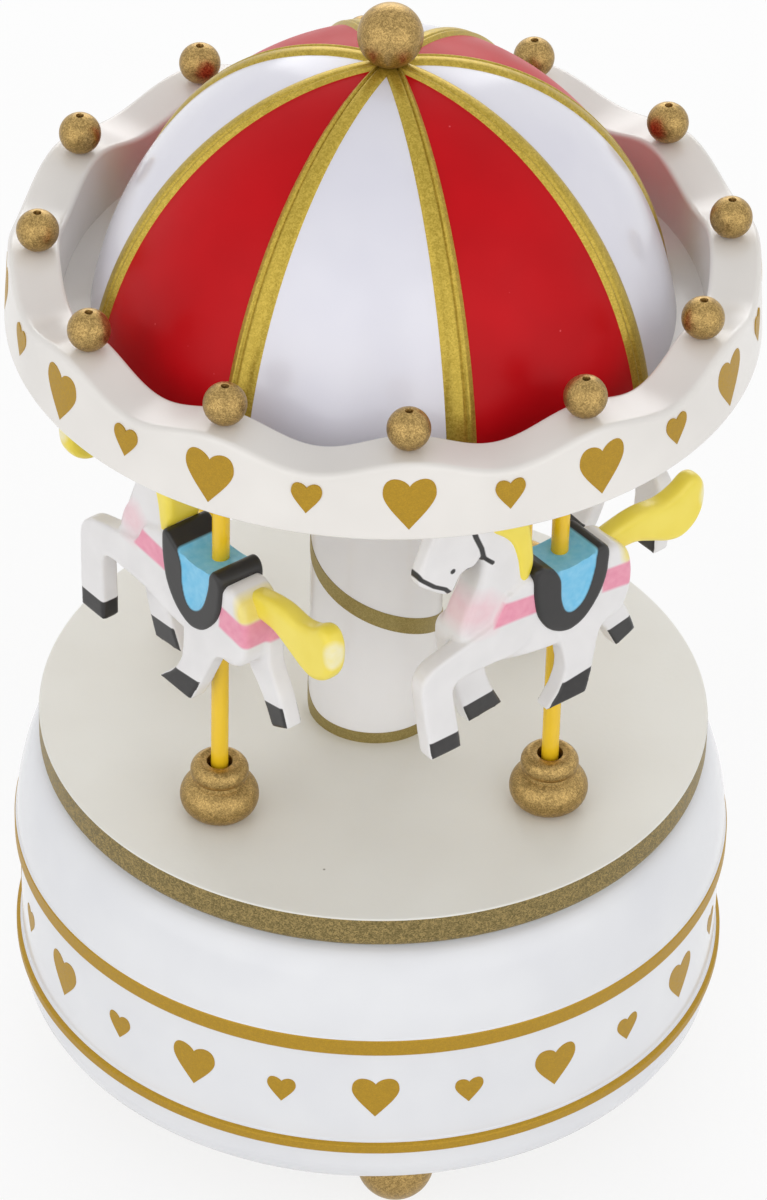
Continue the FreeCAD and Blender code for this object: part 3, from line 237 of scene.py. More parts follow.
def painted_figure(name, first, second, roughness, coats):
    """PVC moulding painted by hand; each coat covers the area whose signed distance the mesh carries.

    A coat is the area's name, the softness of its edge in millimetres, how well it covers, and the tones of
    its thin and thick strokes.
    """
    material, tree, place = start_finish(name)
    clouds = add(tree, "ShaderNodeTexNoise", {"Vector": place, "Scale": 1 / FIGURE_CLOUD})
    tone = add(tree, "ShaderNodeValToRGB", {"Fac": clouds}, [(CLOUD_LOW, first), (CLOUD_HIGH, second)])
    brushed = add(tree, "ShaderNodeTexNoise", {"Vector": place, "Scale": 1 / BRUSH_STROKE, "Detail": 3})
    for area, soft, cover, thin, thick in coats:
        paint = add(tree, "ShaderNodeValToRGB", {"Fac": brushed}, [(CLOUD_LOW, thin), (CLOUD_HIGH, thick)])
        outside = add(tree, "ShaderNodeAttribute", attribute_name=area).outputs["Fac"]
        share = add(tree, "ShaderNodeMapRange", {
            "Value": outside, "From Min": -soft, "From Max": soft, "To Min": cover, "To Max": 0.0,
        })
        tone = add(tree, "ShaderNodeMix", {0: share, 6: tone, 7: paint}, data_type="RGBA").outputs[2]
    relief = add(tree, "ShaderNodeBump", {"Height": brushed, "Distance": BRUSH_RELIEF * MM, "Strength": 1.0})
    shader = add(tree, "ShaderNodeBsdfPrincipled", {
        "Base Color": tone, "Roughness": roughness, "IOR": PVC_IOR, "Normal": relief,
    })
    add(tree, "ShaderNodeOutputMaterial", {"Surface": shader})
    return material


# Horses: soft white PVC, with sprayed pink straps and crisp black hooves and bridle
HORSE_WHITE = painted_figure("painted_white_PVC", "#E4E2E2", "#EBE9E9", roughness=0.3, coats=[
    ("blush", 1.6, 0.5, "#EFA9B8", "#F4BBC6"),
    ("yellow", 0.7, 0.8, "#F0DA44", "#F6E25A"),
    ("pink", 0.25, 1.0, "#E88FA8", "#EF9FB5"),
    ("black", 0.08, 1.0, "#1C1A1A", "#282524"),
])
# Mane and tail: yellow paint, worn through to the pale plastic at the tip of the tail
HORSE_YELLOW = painted_figure("yellow_painted_PVC", "#F0DA44", "#F6E25A", roughness=0.3, coats=[
    ("worn", 0.5, 0.75, "#F3EBB4", "#F4F0D8"),
])
# Saddle: satin black paint, with a sky blue seat
HORSE_SADDLE = painted_figure("black_painted_PVC", "#181615", "#221F1E", roughness=0.38, coats=[
    ("seat", 0.12, 1.0, "#6CC0E6", "#86CCEC"),
])


def cut_metal(name, dark, bright, roughness, grain):
    """Machined or pressed metal: uneven tool marks, drawn coarse enough to show, and satin reflections."""
    material, tree, place = start_finish(name)
    marks = add(tree, "ShaderNodeTexNoise", {"Vector": place, "Scale": 1 / grain, "Detail": 4})
    tone = add(tree, "ShaderNodeValToRGB", {"Fac": marks}, [(CLOUD_LOW, dark), (CLOUD_HIGH, bright)])
    gloss = add(tree, "ShaderNodeMapRange", {
        "Value": marks, "To Min": roughness * 0.8, "To Max": roughness * 1.3,
    })
    shader = add(tree, "ShaderNodeBsdfPrincipled", {"Base Color": tone, "Roughness": gloss, "Metallic": 1.0})
    add(tree, "ShaderNodeOutputMaterial", {"Surface": shader})
    return material


# Movement: warm lacquered brass wheels, bright steel, dull grey zinc castings and milky nylon
BRASS = cut_metal("brass", "#B08D45", "#CBA85C", roughness=0.28, grain=0.6)
STEEL = cut_metal("bright_steel", "#8C8D90", "#A9AAAD", roughness=0.25, grain=0.4)
ZINC = cut_metal("zinc_casting", "#77787A", "#8E8F92", roughness=0.45, grain=1.2)
NYLON = moulded_plastic("nylon", "#DCD9CF", "#E4E1D8", roughness=0.45)
# Bottom cover: pressed hardboard, brown grey, matte and slightly uneven
COVER_BOARD = moulded_plastic("pressed_hardboard", "#B9AC98", "#C7BAA6", roughness=0.6, peel=0.03)


# Meshes, with points in millimetres

ROUND_STEPS = 5
ROUND_SUPPORT = 0.25
MERGE_DISTANCE = 0.002
SHARP_ANGLE = 35
ON_AXIS = 1e-6


def corner_path(corners, closed=True):
    """Points of an outline whose corners (x, y, radius) are rounded, with a point close to each round."""
    path = []
    count = len(corners)
    for index, (x, y, radius) in enumerate(corners):
        here = Vector((x, y))
        if radius <= 0 or (not closed and index in (0, count - 1)):
            path.append(here)
            continue
        before = (Vector(corners[index - 1][:2]) - here).normalized()
        after = (Vector(corners[(index + 1) % count][:2]) - here).normalized()
        half = before.angle(after) / 2
        reach = radius / math.tan(half)
        centre = here + (before + after).normalized() * (radius / math.sin(half))
        first = here + before * reach - centre
        turn = (math.pi - 2 * half) * (1 if before.cross(after) < 0 else -1)
        support = min(ROUND_SUPPORT, reach)
        path.append(here + before * (reach + support))
        for step in range(ROUND_STEPS + 1):
            path.append(centre + Matrix.Rotation(turn * step / ROUND_STEPS, 2) @ first)
        path.append(here + after * (reach + support))
    return [tuple(point) for point in path]


def arc(centre_x, centre_y, radius, start, end, steps):
    """Points of an arc, angles in degrees."""
    angles = np.radians(np.linspace(start, end, steps))
    return [(centre_x + radius * math.cos(angle), centre_y + radius * math.sin(angle)) for angle in angles]


def between(first, second, width):
    """Faces between two rings of points, given by the numbers of their first points."""
    pairs = [(step, (step + 1) % width) for step in range(width)]
    return [(first + step, first + other, second + other, second + step) for step, other in pairs]


def new_object(name, data):
    """A new object in the scene."""
    thing = bpy.data.objects.new(name, data)
    bpy.context.scene.collection.objects.link(thing)
    return thing


def evaluated(thing):
    """A new mesh of a piece as its modifiers leave it."""
    graph = bpy.context.evaluated_depsgraph_get()
    return bpy.data.meshes.new_from_object(thing.evaluated_get(graph))


def tidy(mesh, sharp=SHARP_ANGLE):
    """Merges doubles, turns the faces outwards and shades them smooth up to an angle in degrees."""
    work = bmesh.new()
    work.from_mesh(mesh)
    bmesh.ops.remove_doubles(work, verts=work.verts, dist=MERGE_DISTANCE * MM)
    bmesh.ops.dissolve_degenerate(work, edges=work.edges, dist=MERGE_DISTANCE * MM / 10)
    bmesh.ops.recalc_face_normals(work, faces=work.faces)
    work.to_mesh(mesh)
    work.free()
    mesh.shade_smooth()
    mesh.set_sharp_from_angle(angle=math.radians(sharp))


def mesh_object(name, points, faces, materials, indices=None, sharp=SHARP_ANGLE):
    """A tidy mesh from points and faces; indices say which material each face has."""
    mesh = bpy.data.meshes.new(name)
    mesh.from_pydata((np.asarray(points, dtype=float) * MM).tolist(), [], faces)
    for material in materials:
        mesh.materials.append(material)
    if indices is not None:
        mesh.polygons.foreach_set("material_index", indices)
    tidy(mesh, sharp)
    return new_object(name, mesh)


def turned(name, profile, materials, segments, closed=True, paint=None):
    """A piece turned about the Z axis from (radius, height) points; paint picks a face's material."""
    rows = len(profile)
    angles = np.arange(segments) * (TAU / segments)
    ring = np.array(profile, dtype=float)
    points = np.empty((rows, segments, 3))
    points[:, :, 0] = ring[:, :1] * np.cos(angles)
    points[:, :, 1] = ring[:, :1] * np.sin(angles)
    points[:, :, 2] = ring[:, 1:]
    faces = []
    indices = []
    for row in range(rows if closed else rows - 1):
        after = (row + 1) % rows
        if max(ring[row][0], ring[after][0]) < ON_AXIS:
            continue
        middle = (ring[row] + ring[after]) / 2
        faces += between(row * segments, after * segments, segments)
        indices += [paint(*middle) if paint else 0] * segments
    return mesh_object(name, points.reshape(-1, 3), faces, materials, indices)


def keep_values(mesh, name, values):
    """Keeps a number for each point with the mesh."""
    layer = mesh.attributes.new(name, "FLOAT", "POINT")
    layer.data.foreach_set("value", np.asarray(values, dtype=np.float32))


def vertex_values(mesh, name):
    """The points' places or normals, one row each."""
    values = np.empty(len(mesh.vertices) * 3)
    mesh.vertices.foreach_get(name, values)
    return values.reshape(-1, 3)


# Geometry node trees

RIBBON_STEPS = 64


def new_tree(name, inputs):
    """A geometry node tree with named inputs; returns it and its input sockets by name."""
    tree = bpy.data.node_groups.new(name, "GeometryNodeTree")
    tree.interface.new_socket("Geometry", in_out="OUTPUT", socket_type="NodeSocketGeometry")
    tree.interface.new_socket("Geometry", in_out="INPUT", socket_type="NodeSocketGeometry")
    for label, kind in inputs.items():
        tree.interface.new_socket(label, in_out="INPUT", socket_type="NodeSocket" + kind)
    return tree, add(tree, "NodeGroupInput").outputs


def end_tree(tree, shape, paint):
    """The end of every tree: instances made real, in their finish."""
    real = add(tree, "GeometryNodeRealizeInstances", {0: shape})
    painted = add(tree, "GeometryNodeSetMaterial", {"Geometry": real, "Material": paint})
    add(tree, "NodeGroupOutput", {0: painted})
    return tree


def grow(thing, tree, values):
    """Runs a tree on a piece with the given inputs, and keeps the result as its plain mesh."""
    modifier = thing.modifiers.new(tree.name, "NODES")
    modifier.node_group = tree
    for item in tree.interface.items_tree:
        if item.in_out == "INPUT" and item.name in values:
            modifier[item.identifier] = values[item.name]
    result = evaluated(thing)
    thing.modifiers.clear()
    old = thing.data
    thing.data = result
    result.name = thing.name
    bpy.data.meshes.remove(old)


def round_tree():
    """Copies of a piece round the Z axis; each copy's -Y side faces outwards."""
    tree, given = new_tree("round_the_axis", {
        "Count": "Int", "Radius": "Float", "Level": "Float", "Turn": "Float", "Paint": "Material",
    })
    index = add(tree, "GeometryNodeInputIndex")
    share = add(tree, "ShaderNodeMath", {0: TAU, 1: given["Count"]}, operation="DIVIDE")
    angle = add(tree, "ShaderNodeMath", {0: index, 1: share, 2: given["Turn"]}, operation="MULTIPLY_ADD")
    facing = add(tree, "ShaderNodeCombineXYZ", {"Z": angle})
    front = add(tree, "ShaderNodeMath", {0: given["Radius"], 1: -1.0}, operation="MULTIPLY")
    first = add(tree, "ShaderNodeCombineXYZ", {"Y": front, "Z": given["Level"]})
    turning = {"Vector": first, "Rotation": facing}
    place = add(tree, "ShaderNodeVectorRotate", turning, rotation_type="EULER_XYZ")
    points = add(tree, "GeometryNodePoints", {"Count": given["Count"], "Position": place})
    copies = add(tree, "GeometryNodeInstanceOnPoints", {
        "Points": points, "Instance": given["Geometry"], "Rotation": facing,
    })
    return end_tree(tree, copies, given["Paint"])


def wrap_tree():
    """Lays flat motifs on a shell that narrows or widens evenly; "film" is how far they stand out."""
    tree, given = new_tree("wrap_on_shell", {
        "Count": "Int", "Radius": "Float", "Level": "Float", "Turn": "Float", "Flare": "Float",
        "Paint": "Material",
    })
    shared = ("Geometry", "Count", "Radius", "Level", "Turn", "Paint")
    copies = add(tree, "GeometryNodeGroup", {label: given[label] for label in shared}, node_tree=ROUND)
    parts = add(tree, "ShaderNodeSeparateXYZ", {0: add(tree, "GeometryNodeInputPosition")}).outputs
    flat = add(tree, "ShaderNodeCombineXYZ", {"X": parts["X"], "Y": parts["Y"]})
    length = add(tree, "ShaderNodeVectorMath", {0: flat}, operation="LENGTH").outputs["Value"]
    film = add(tree, "GeometryNodeInputNamedAttribute", {"Name": "film"}, data_type="FLOAT")
    climb = add(tree, "ShaderNodeMath", {0: parts["Z"], 1: given["Level"]}, operation="SUBTRACT")
    slope = {0: climb, 1: given["Flare"], 2: given["Radius"]}
    cone = add(tree, "ShaderNodeMath", slope, operation="MULTIPLY_ADD")
    wanted = add(tree, "ShaderNodeMath", {0: cone, 1: film}, operation="ADD")
    missing = add(tree, "ShaderNodeMath", {0: wanted, 1: length}, operation="SUBTRACT")
    ratio = add(tree, "ShaderNodeMath", {0: missing, 1: length}, operation="DIVIDE")
    shift = add(tree, "ShaderNodeVectorMath", {0: flat, "Scale": ratio}, operation="SCALE")
    moved = add(tree, "GeometryNodeSetPosition", {"Geometry": copies, "Offset": shift})
    return end_tree(tree, moved, given["Paint"])


def wave_tree():
    """Waves the top of a turned ring: points above the start level sink between the crests."""
    tree, given = new_tree("wavy_rim", {
        "Waves": "Int", "Depth": "Float", "Start": "Float", "Top": "Float", "Paint": "Material",
    })
    parts = add(tree, "ShaderNodeSeparateXYZ", {0: add(tree, "GeometryNodeInputPosition")}).outputs
    back = add(tree, "ShaderNodeMath", {0: parts["Y"], 1: -1.0}, operation="MULTIPLY")
    angle = add(tree, "ShaderNodeMath", {0: parts["X"], 1: back}, operation="ARCTAN2")
    phase = add(tree, "ShaderNodeMath", {0: angle, 1: given["Waves"]}, operation="MULTIPLY")
    crest = add(tree, "ShaderNodeMath", {0: phase}, operation="COSINE")
    dip = add(tree, "ShaderNodeMath", {0: crest, 1: 0.5, 2: -0.5}, operation="MULTIPLY_ADD")
    weight = add(tree, "ShaderNodeMapRange", {
        "Value": parts["Z"], "From Min": given["Start"], "From Max": given["Top"], "To Max": given["Depth"],
    })
    sink = add(tree, "ShaderNodeMath", {0: dip, 1: weight}, operation="MULTIPLY")
    down = add(tree, "ShaderNodeCombineXYZ", {"Z": sink})
    moved = add(tree, "GeometryNodeSetPosition", {"Geometry": given["Geometry"], "Offset": down})
    return end_tree(tree, moved, given["Paint"])


def ribbon_tree():
    """A flat ribbon wound up a column; what would lie below the foot level lies along it instead."""
    tree, given = new_tree("wound_ribbon", {
        "Turns": "Float", "Radius": "Float", "Pitch": "Float", "Width": "Float", "Film": "Float",
        "Start": "Float", "Foot": "Float", "Paint": "Material",
    })
    height = add(tree, "ShaderNodeMath", {0: given["Turns"], 1: given["Pitch"]}, operation="MULTIPLY")
    path = add(tree, "GeometryNodeCurveSpiral", {
        "Resolution": RIBBON_STEPS, "Rotations": given["Turns"], "Start Radius": given["Radius"],
        "End Radius": given["Radius"], "Height": height, "Reverse": False,
    })
    raised = add(tree, "ShaderNodeCombineXYZ", {"Z": given["Start"]})
    placed = add(tree, "GeometryNodeTransform", {"Geometry": path, "Translation": raised})
    parts = add(tree, "ShaderNodeSeparateXYZ", {0: add(tree, "GeometryNodeInputPosition")}).outputs
    levels = {0: parts["Z"], 1: given["Foot"], 2: given["Width"]}
    level = add(tree, "ShaderNodeMath", levels, operation="SMOOTH_MAX")
    rise = add(tree, "ShaderNodeMath", {0: level, 1: parts["Z"]}, operation="SUBTRACT")
    lift = add(tree, "ShaderNodeCombineXYZ", {"Z": rise})
    laid = add(tree, "GeometryNodeSetPosition", {"Geometry": placed, "Offset": lift})
    upright = add(tree, "GeometryNodeSetCurveNormal", {"Curve": laid}, mode="Z_UP")
    band = add(tree, "GeometryNodeCurvePrimitiveQuadrilateral", {
        "Width": given["Film"], "Height": given["Width"],
    })
    strip = add(tree, "GeometryNodeCurveToMesh", {
        "Curve": upright, "Profile Curve": band, "Fill Caps": True,
    })
    return end_tree(tree, strip, given["Paint"])


ROUND = round_tree()
WRAP = wrap_tree()
WAVE = wave_tree()
RIBBON = ribbon_tree()


def place_round(thing, count, radius=0, level=0, turn=0):
    """Makes a ring of one piece, with the first one turned from the front by an angle in degrees."""
    grow(thing, ROUND, {
        "Count": count, "Radius": radius * MM, "Level": level * MM, "Turn": math.radians(turn),
        "Paint": thing.data.materials[0],
    })


def stand_in(piece, body, slot, *nodes):
    """The piece rides a body and stands for its CAD nodes, which are hidden; the slot is not used."""
    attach(piece, body)
    if nodes:
        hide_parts(*nodes)


def numbered(name, count):
    """The names of numbered nodes."""
    return [f"{name}_{index + 1}" for index in range(count)]


# Base: shell with two raised gold lines, hearts between them, ball feet

SHELL_FOOT_ROUND = 4.7
LINE_RADIUS = 54.9
LINE_SLOPE = 0.5
LINE_ROUND = 0.35
EDGE_ROUND = 0.3
LOWER_LINE = (19.3, 20.7)
UPPER_LINE = (38.9, 41.5)
# How far the gold reaches past a line's front, and how far a face must stand proud to be gold
LINE_PAINT = 0.3
SHOULDER_FOOT = (54.55, 41.95, 0.0)
SHOULDER = [
    (54.5, 43.5), (54.35, 45.0), (54.05, 46.9), (53.6, 49.0), (53.0, 51.1), (52.5, 52.6), (51.9, 53.8),
    (51.2, 54.8), (50.3, 55.5), (49.4, 55.68), (48.9, DECK_TOP),
]
SHAFT_HOLE = 3.2
DECK_UNDER = 53.2
DECK_COVE = 3.2
WALL_INSIDE = 51.6
LEDGE_RADIUS = 44.2
LEDGE_TOP = 17.2
LEDGE_UNDER = 13.25
COVER_RADIUS = 47.95


def raised_line(low, high):
    """Corners of a gold line that stands a little proud of the shell."""
    return [
        (BAND_RADIUS, low - LINE_SLOPE, EDGE_ROUND), (LINE_RADIUS, low, LINE_ROUND),
        (LINE_RADIUS, high, LINE_ROUND), (BAND_RADIUS, high + LINE_SLOPE, EDGE_ROUND),
    ]


def base_shell():
    """The white shell with its deck and its ledge for the cover; the upper line runs into the shoulder."""
    outside = [(COVER_RADIUS, SHELL_UNDER, EDGE_ROUND), (BAND_RADIUS, SHELL_UNDER, SHELL_FOOT_ROUND)]
    outside += raised_line(*LOWER_LINE)
    outside += [*raised_line(*UPPER_LINE)[:3], SHOULDER_FOOT]
    inside = [
        (SHAFT_HOLE, DECK_TOP), (SHAFT_HOLE, DECK_UNDER), (WALL_INSIDE - DECK_COVE, DECK_UNDER),
        (WALL_INSIDE, DECK_UNDER - DECK_COVE), (WALL_INSIDE, LEDGE_TOP), (LEDGE_RADIUS, LEDGE_TOP),
        (LEDGE_RADIUS, LEDGE_UNDER), (COVER_RADIUS, LEDGE_UNDER),
    ]
    profile = corner_path(outside, closed=False) + SHOULDER + inside

    def paint(radius, height):
        lines = (LOWER_LINE, UPPER_LINE)
        beside = any(low - LINE_PAINT < height < high + LINE_PAINT for low, high in lines)
        return int(beside and radius > BAND_RADIUS + LINE_PAINT)

    shell = turned("base_shell_v", profile, [WHITE_ABS, GOLD_FOIL], segments=256, paint=paint)
    stand_in(shell, "base", "white_shell", "base_shell")


# Right half of a heart one unit wide, as two cubic curves from the notch to the tip
HEART_LOBE = [(0, 0.35), (0.09, 0.52), (0.5, 0.62), (0.5, 0.22)]
HEART_SIDE = [(0.5, 0.22), (0.5, 0.02), (0.22, -0.24), (0, -0.5)]
HEART_STEPS = 16
HEART_PAIRS = 12
HEART_SHARP = 50
# How far a heart's front stands out from the shell and its back lies inside it
HEART_FILM = 0.05
HEART_ROOT = 0.2


def bezier(corners):
    """Points along a cubic curve, without its last one."""
    a, b, c, d = (np.array(corner, dtype=float) for corner in corners)
    t = (np.arange(HEART_STEPS) / HEART_STEPS)[:, None]
    return a * (1 - t) ** 3 + 3 * b * t * (1 - t) ** 2 + 3 * c * t ** 2 * (1 - t) + d * t ** 3


def heart(name, width, height):
    """A flat heart in the XZ plane as a thin closed slab, each face with a ring of points half way in."""
    half = np.concatenate([bezier(HEART_LOBE), bezier(HEART_SIDE), [HEART_SIDE[-1]]])
    outline = np.concatenate([half, half[-2:0:-1] * (-1, 1)])
    outline[:, 1] -= (outline[:, 1].max() + outline[:, 1].min()) / 2
    outline *= (width / np.ptp(outline[:, 0]), height / np.ptp(outline[:, 1]))
    count = len(outline)
    points = []
    for depth in (HEART_FILM, -HEART_ROOT):
        for share in (1.0, 0.5):
            points += [(x * share, -depth, z * share) for x, z in outline]
        points.append((0.0, -depth, 0.0))
    side = 2 * count + 1
    faces = between(0, side, count)
    for start in (0, side):
        inner = start + count
        faces += between(start, inner, count)
        faces += [(inner + step, inner + (step + 1) % count, inner + count) for step in range(count)]
    thing = mesh_object(name, points, faces, [GOLD_FOIL], sharp=HEART_SHARP)
    keep_values(thing.data, "film", -vertex_values(thing.data, "co")[:, 1])
    return thing


def heart_band(name, body, radius, level, flare, turn, big, small):
    """Big and small hearts by turns round a shell; big and small give width and height."""
    for label, size, offset in (("big", big, 0), ("small", small, 180 / HEART_PAIRS)):
        thing = heart(f"{name}_{label}_v", *size)
        grow(thing, WRAP, {
            "Count": HEART_PAIRS, "Radius": radius * MM, "Level": level * MM,
            "Turn": math.radians(turn + offset), "Flare": flare, "Paint": GOLD_FOIL,
        })
        stand_in(thing, body, "gold_bead")


def ball_profile(radius, centre, low, steps=28):
    """Half outline of a ball cut off at a low level."""
    start = math.degrees(math.asin((low - centre) / radius))
    return [(0.0, low), *arc(0, centre, radius, start, 90, steps)[:-1], (0.0, centre + radius)]


FEET = ("foot_front", "foot_right", "foot_rear", "foot_left")
FOOT_RADIUS = 5.95
FOOT_CENTRE = 5.5
FOOT_ROUND_TOP = 11.15
FOOT_FLAT = 1.4
FOOT_TOP = 11.19


def feet():
    """A ring of balls, flat where they stand and where they meet the shell."""
    ball = ball_profile(FOOT_RADIUS, FOOT_CENTRE, 0.0)
    profile = [(radius, height) for radius, height in ball if height <= FOOT_ROUND_TOP]
    profile += [(FOOT_FLAT, FOOT_TOP), (0.0, FOOT_TOP)]
    foot = turned("feet_v", profile, [GOLD_BEAD], segments=64, closed=False)
    place_round(foot, len(FEET), FOOT_CIRCLE, turn=FOOT_TURN)
    stand_in(foot, "base", "gold_bead", *FEET)


# Platform, and the column, poles and beads that stand on it

PLATFORM_BORE = 2.3
UNDER_ROUND = 1.4
# The gold starts below the top edge, and ends on the rounded under edge
GOLD_DROP = 0.2
GOLD_REACH = 1.0

COLUMN_BORE = 8.55
RIBBON_PITCH = 28.5
RIBBON_WIDTH = 2.7
RIBBON_TURNS = 2.9
RIBBON_FILM = 0.2
RIBBON_SINK = 0.02
RIBBON_FOOT = 0.6
# The ribbon crosses the front of the column at this level, a turn and a quarter from its start
RIBBON_FRONT_LEVEL = 85.5
RIBBON_FRONT_TURN = 1.25

POLE_SINK = 3.5
POLE_BEAD_BORE = 1.9
# Upwards: the flat under the bead, its wide bulge, its narrow bulge and its rim
POLE_BEAD = [
    (POLE_BEAD_BORE, 0.0), (3.3, 0.0), *arc(2.7, 3.05, 3.2, -70, 66, 14), *arc(2.6, 7.7, 1.75, -42, 78, 10),
    (2.35, 9.25), (1.95, 9.2), (POLE_BEAD_BORE, 9.0),
]


def platform():
    """A cream disc with a gold edge."""
    profile = corner_path([
        (PLATFORM_BORE, PLATFORM_UNDER, 0), (PLATFORM_RADIUS, PLATFORM_UNDER, UNDER_ROUND),
        (PLATFORM_RADIUS, PLATFORM_TOP, EDGE_ROUND), (PLATFORM_BORE, PLATFORM_TOP, 0),
    ])

    def paint(radius, height):
        return int(radius > PLATFORM_RADIUS - GOLD_REACH and height < PLATFORM_TOP - GOLD_DROP)

    disc = turned("platform_v", profile, [CREAM_BOARD, GOLD_EDGE], segments=256, paint=paint)
    stand_in(disc, "carousel", "platform_board", "platform_disc")


def column():
    """A white tube with a ribbon wound round it."""
    tube = turned("column_v", [
        (COLUMN_BORE, PLATFORM_TOP), (COLUMN_RADIUS, PLATFORM_TOP), (COLUMN_RADIUS, CANOPY_UNDER),
        (COLUMN_BORE, CANOPY_UNDER),
    ], [COLUMN_PS], segments=96)
    stand_in(tube, "carousel", "column_white", "centre_column")
    ribbon = new_object("column_ribbon_v", bpy.data.meshes.new("column_ribbon_v"))
    start_level = RIBBON_FRONT_LEVEL - RIBBON_FRONT_TURN * RIBBON_PITCH
    grow(ribbon, RIBBON, {
        "Turns": RIBBON_TURNS, "Radius": (COLUMN_RADIUS - RIBBON_SINK) * MM, "Pitch": RIBBON_PITCH * MM,
        "Width": RIBBON_WIDTH * MM, "Film": RIBBON_FILM * MM, "Start": start_level * MM,
        "Foot": (PLATFORM_TOP + RIBBON_FOOT) * MM, "Paint": GOLD_RIBBON,
    })
    tidy(ribbon.data)
    stand_in(ribbon, "carousel", "gold_bead")


def poles_and_beads():
    """Yellow poles from the platform up to the canopy, each through a gold bead at its foot."""
    bead = turned("pole_beads_v", POLE_BEAD, [GOLD_BEAD], segments=72)
    place_round(bead, POLE_COUNT, POLE_CIRCLE, PLATFORM_TOP, POLE_TURN)
    stand_in(bead, "carousel", "gold_bead", *numbered("pole_bead", POLE_COUNT))
    foot = PLATFORM_TOP - POLE_SINK
    pole = turned("poles_v", [
        (0.0, foot), (POLE_RADIUS, foot), (POLE_RADIUS, PLATE_TOP), (0.0, PLATE_TOP),
    ], [YELLOW_PAINT], segments=32, closed=False)
    place_round(pole, POLE_COUNT, POLE_CIRCLE, turn=POLE_TURN)
    stand_in(pole, "carousel", "pole_yellow", *numbered("pole", POLE_COUNT))


# Horses, in their own frame: u forward, v outward, w up from the platform, in millimetres

# Outlines of the parts as (u, w)
TRUNK = [
    (-11, 40.5), (-10.4, 44), (-9, 46), (-7, 46.9), (-4.6, 46.6), (-1.5, 45.8), (4, 46), (8.4, 48.2),
    (11.4, 47.5), (13.6, 46), (15.3, 42.8), (18.4, 41.4), (19.4, 39.4), (15, 35.9), (9.4, 34.2),
    (3.8, 33.4), (-3, 33.3), (-8.4, 33.8), (-10.5, 36.6),
]
NECK = [
    (8.2, 47), (7.8, 50), (8.2, 54), (9, 58), (10.2, 63), (12, 67.4), (14.6, 69.4), (17.6, 69),
    (20.6, 67), (19, 60), (16.8, 55), (17.2, 51.5), (18.2, 48.4), (19.8, 45.4), (20.6, 42.6), (20.4, 40),
    (17, 38), (12, 40),
]
HEAD = [
    (14.2, 66.4), (15.4, 69), (18.2, 69), (21.4, 66.6), (24, 63.6), (25.7, 60.6), (27.2, 57.2),
    (27.8, 55.4), (27.3, 53.8), (25.4, 52.2), (22.8, 50.5), (21.4, 51), (20.2, 53.2), (18.2, 53.6),
    (16.8, 55.2), (15.2, 59.5),
]
NEAR_FORELEG = [
    (12, 47), (13.7, 45.9), (15.4, 42.9), (19.2, 41.8), (23, 40.9), (26.6, 39.8), (28.2, 38.4),
    (28.6, 36.4), (28.2, 32), (27.7, 28), (27.2, 24.5), (26.6, 24.3), (22.2, 24.3), (21.7, 24.8),
    (22.2, 29), (22.8, 33.6), (22.5, 35.4), (20.5, 36), (16, 36), (11, 36), (8, 38), (8.5, 45),
]
NEAR_HINDLEG = [
    (-10, 41), (-4, 42), (2, 40), (3.2, 36), (2.6, 32), (2.6, 29.4), (3.9, 26.9), (6.3, 24.5),
    (5.8, 24.3), (-0.6, 24.3), (-1.1, 24.7), (-2.3, 27.4), (-3.2, 30), (-4.8, 33.6), (-9, 36),
]
FAR_FORELEG = [
    (12, 43), (20, 43), (20.6, 38), (19.4, 33), (17.6, 27), (16, 22.9), (15.5, 22.7), (10.2, 23.3),
    (9.8, 23.7), (11.5, 27), (13, 31), (13.4, 36),
]
FAR_HINDLEG = [
    (-2, 41), (-3.4, 36), (-6.2, 32), (-9.3, 28.4), (-10.6, 26.4), (-12, 23.8), (-12.5, 23.6),
    (-15.5, 25), (-15.7, 25.5), (-14.6, 28.4), (-13.4, 31), (-11.6, 34.4), (-10.6, 40),
]
EAR = [(14.6, 68.2), (14.8, 70.4), (15.8, 71.4), (16.8, 70.2), (17.2, 68)]
TAIL = [
    (-7.6, 45.8), (-11.4, 47.2), (-15.2, 47.7), (-18.9, 47.4), (-21.8, 48.2), (-24, 49.6), (-25.8, 49.4),
    (-27, 47.6), (-27.2, 45), (-26.7, 42.6), (-25.3, 40.6), (-23, 39.4), (-20.4, 39.7), (-17.2, 41.1),
    (-13.8, 42.4), (-9, 42.8),
]
MANE = [
    (9.3, 46.8), (7.7, 49.8), (7.9, 53.6), (8.5, 57), (9.4, 61), (10.8, 65.4), (13, 69), (16, 70.3),
    (19.4, 69.6), (22.3, 67.4), (20.6, 66.6), (18.4, 64.6), (17, 61.6), (15.6, 59), (13.6, 57.2),
    (12, 55.2), (10.9, 52), (10.3, 48.6),
]
SADDLE = [
    (8.3, 47.6), (8.1, 44.4), (7.2, 40.6), (4.9, 37.3), (1.7, 35.7), (-1.4, 36.5), (-4, 39.3),
    (-5.4, 42.4), (-5.8, 45.4), (-5.8, 47.2), (-5, 48.4), (-3.8, 48.6), (-2.6, 47.9), (1, 47.5),
    (4, 47.8), (5.6, 48.7), (7, 49.6), (8.1, 49.2),
]
SEAT = [
    (5.4, 51), (4.8, 48.6), (3.5, 45.8), (3.2, 42.3), (2.3, 39.8), (0.9, 39.1), (-0.7, 39.9),
    (-1.9, 41.7), (-2.8, 44.6), (-3.1, 46.8), (-3, 51),
]

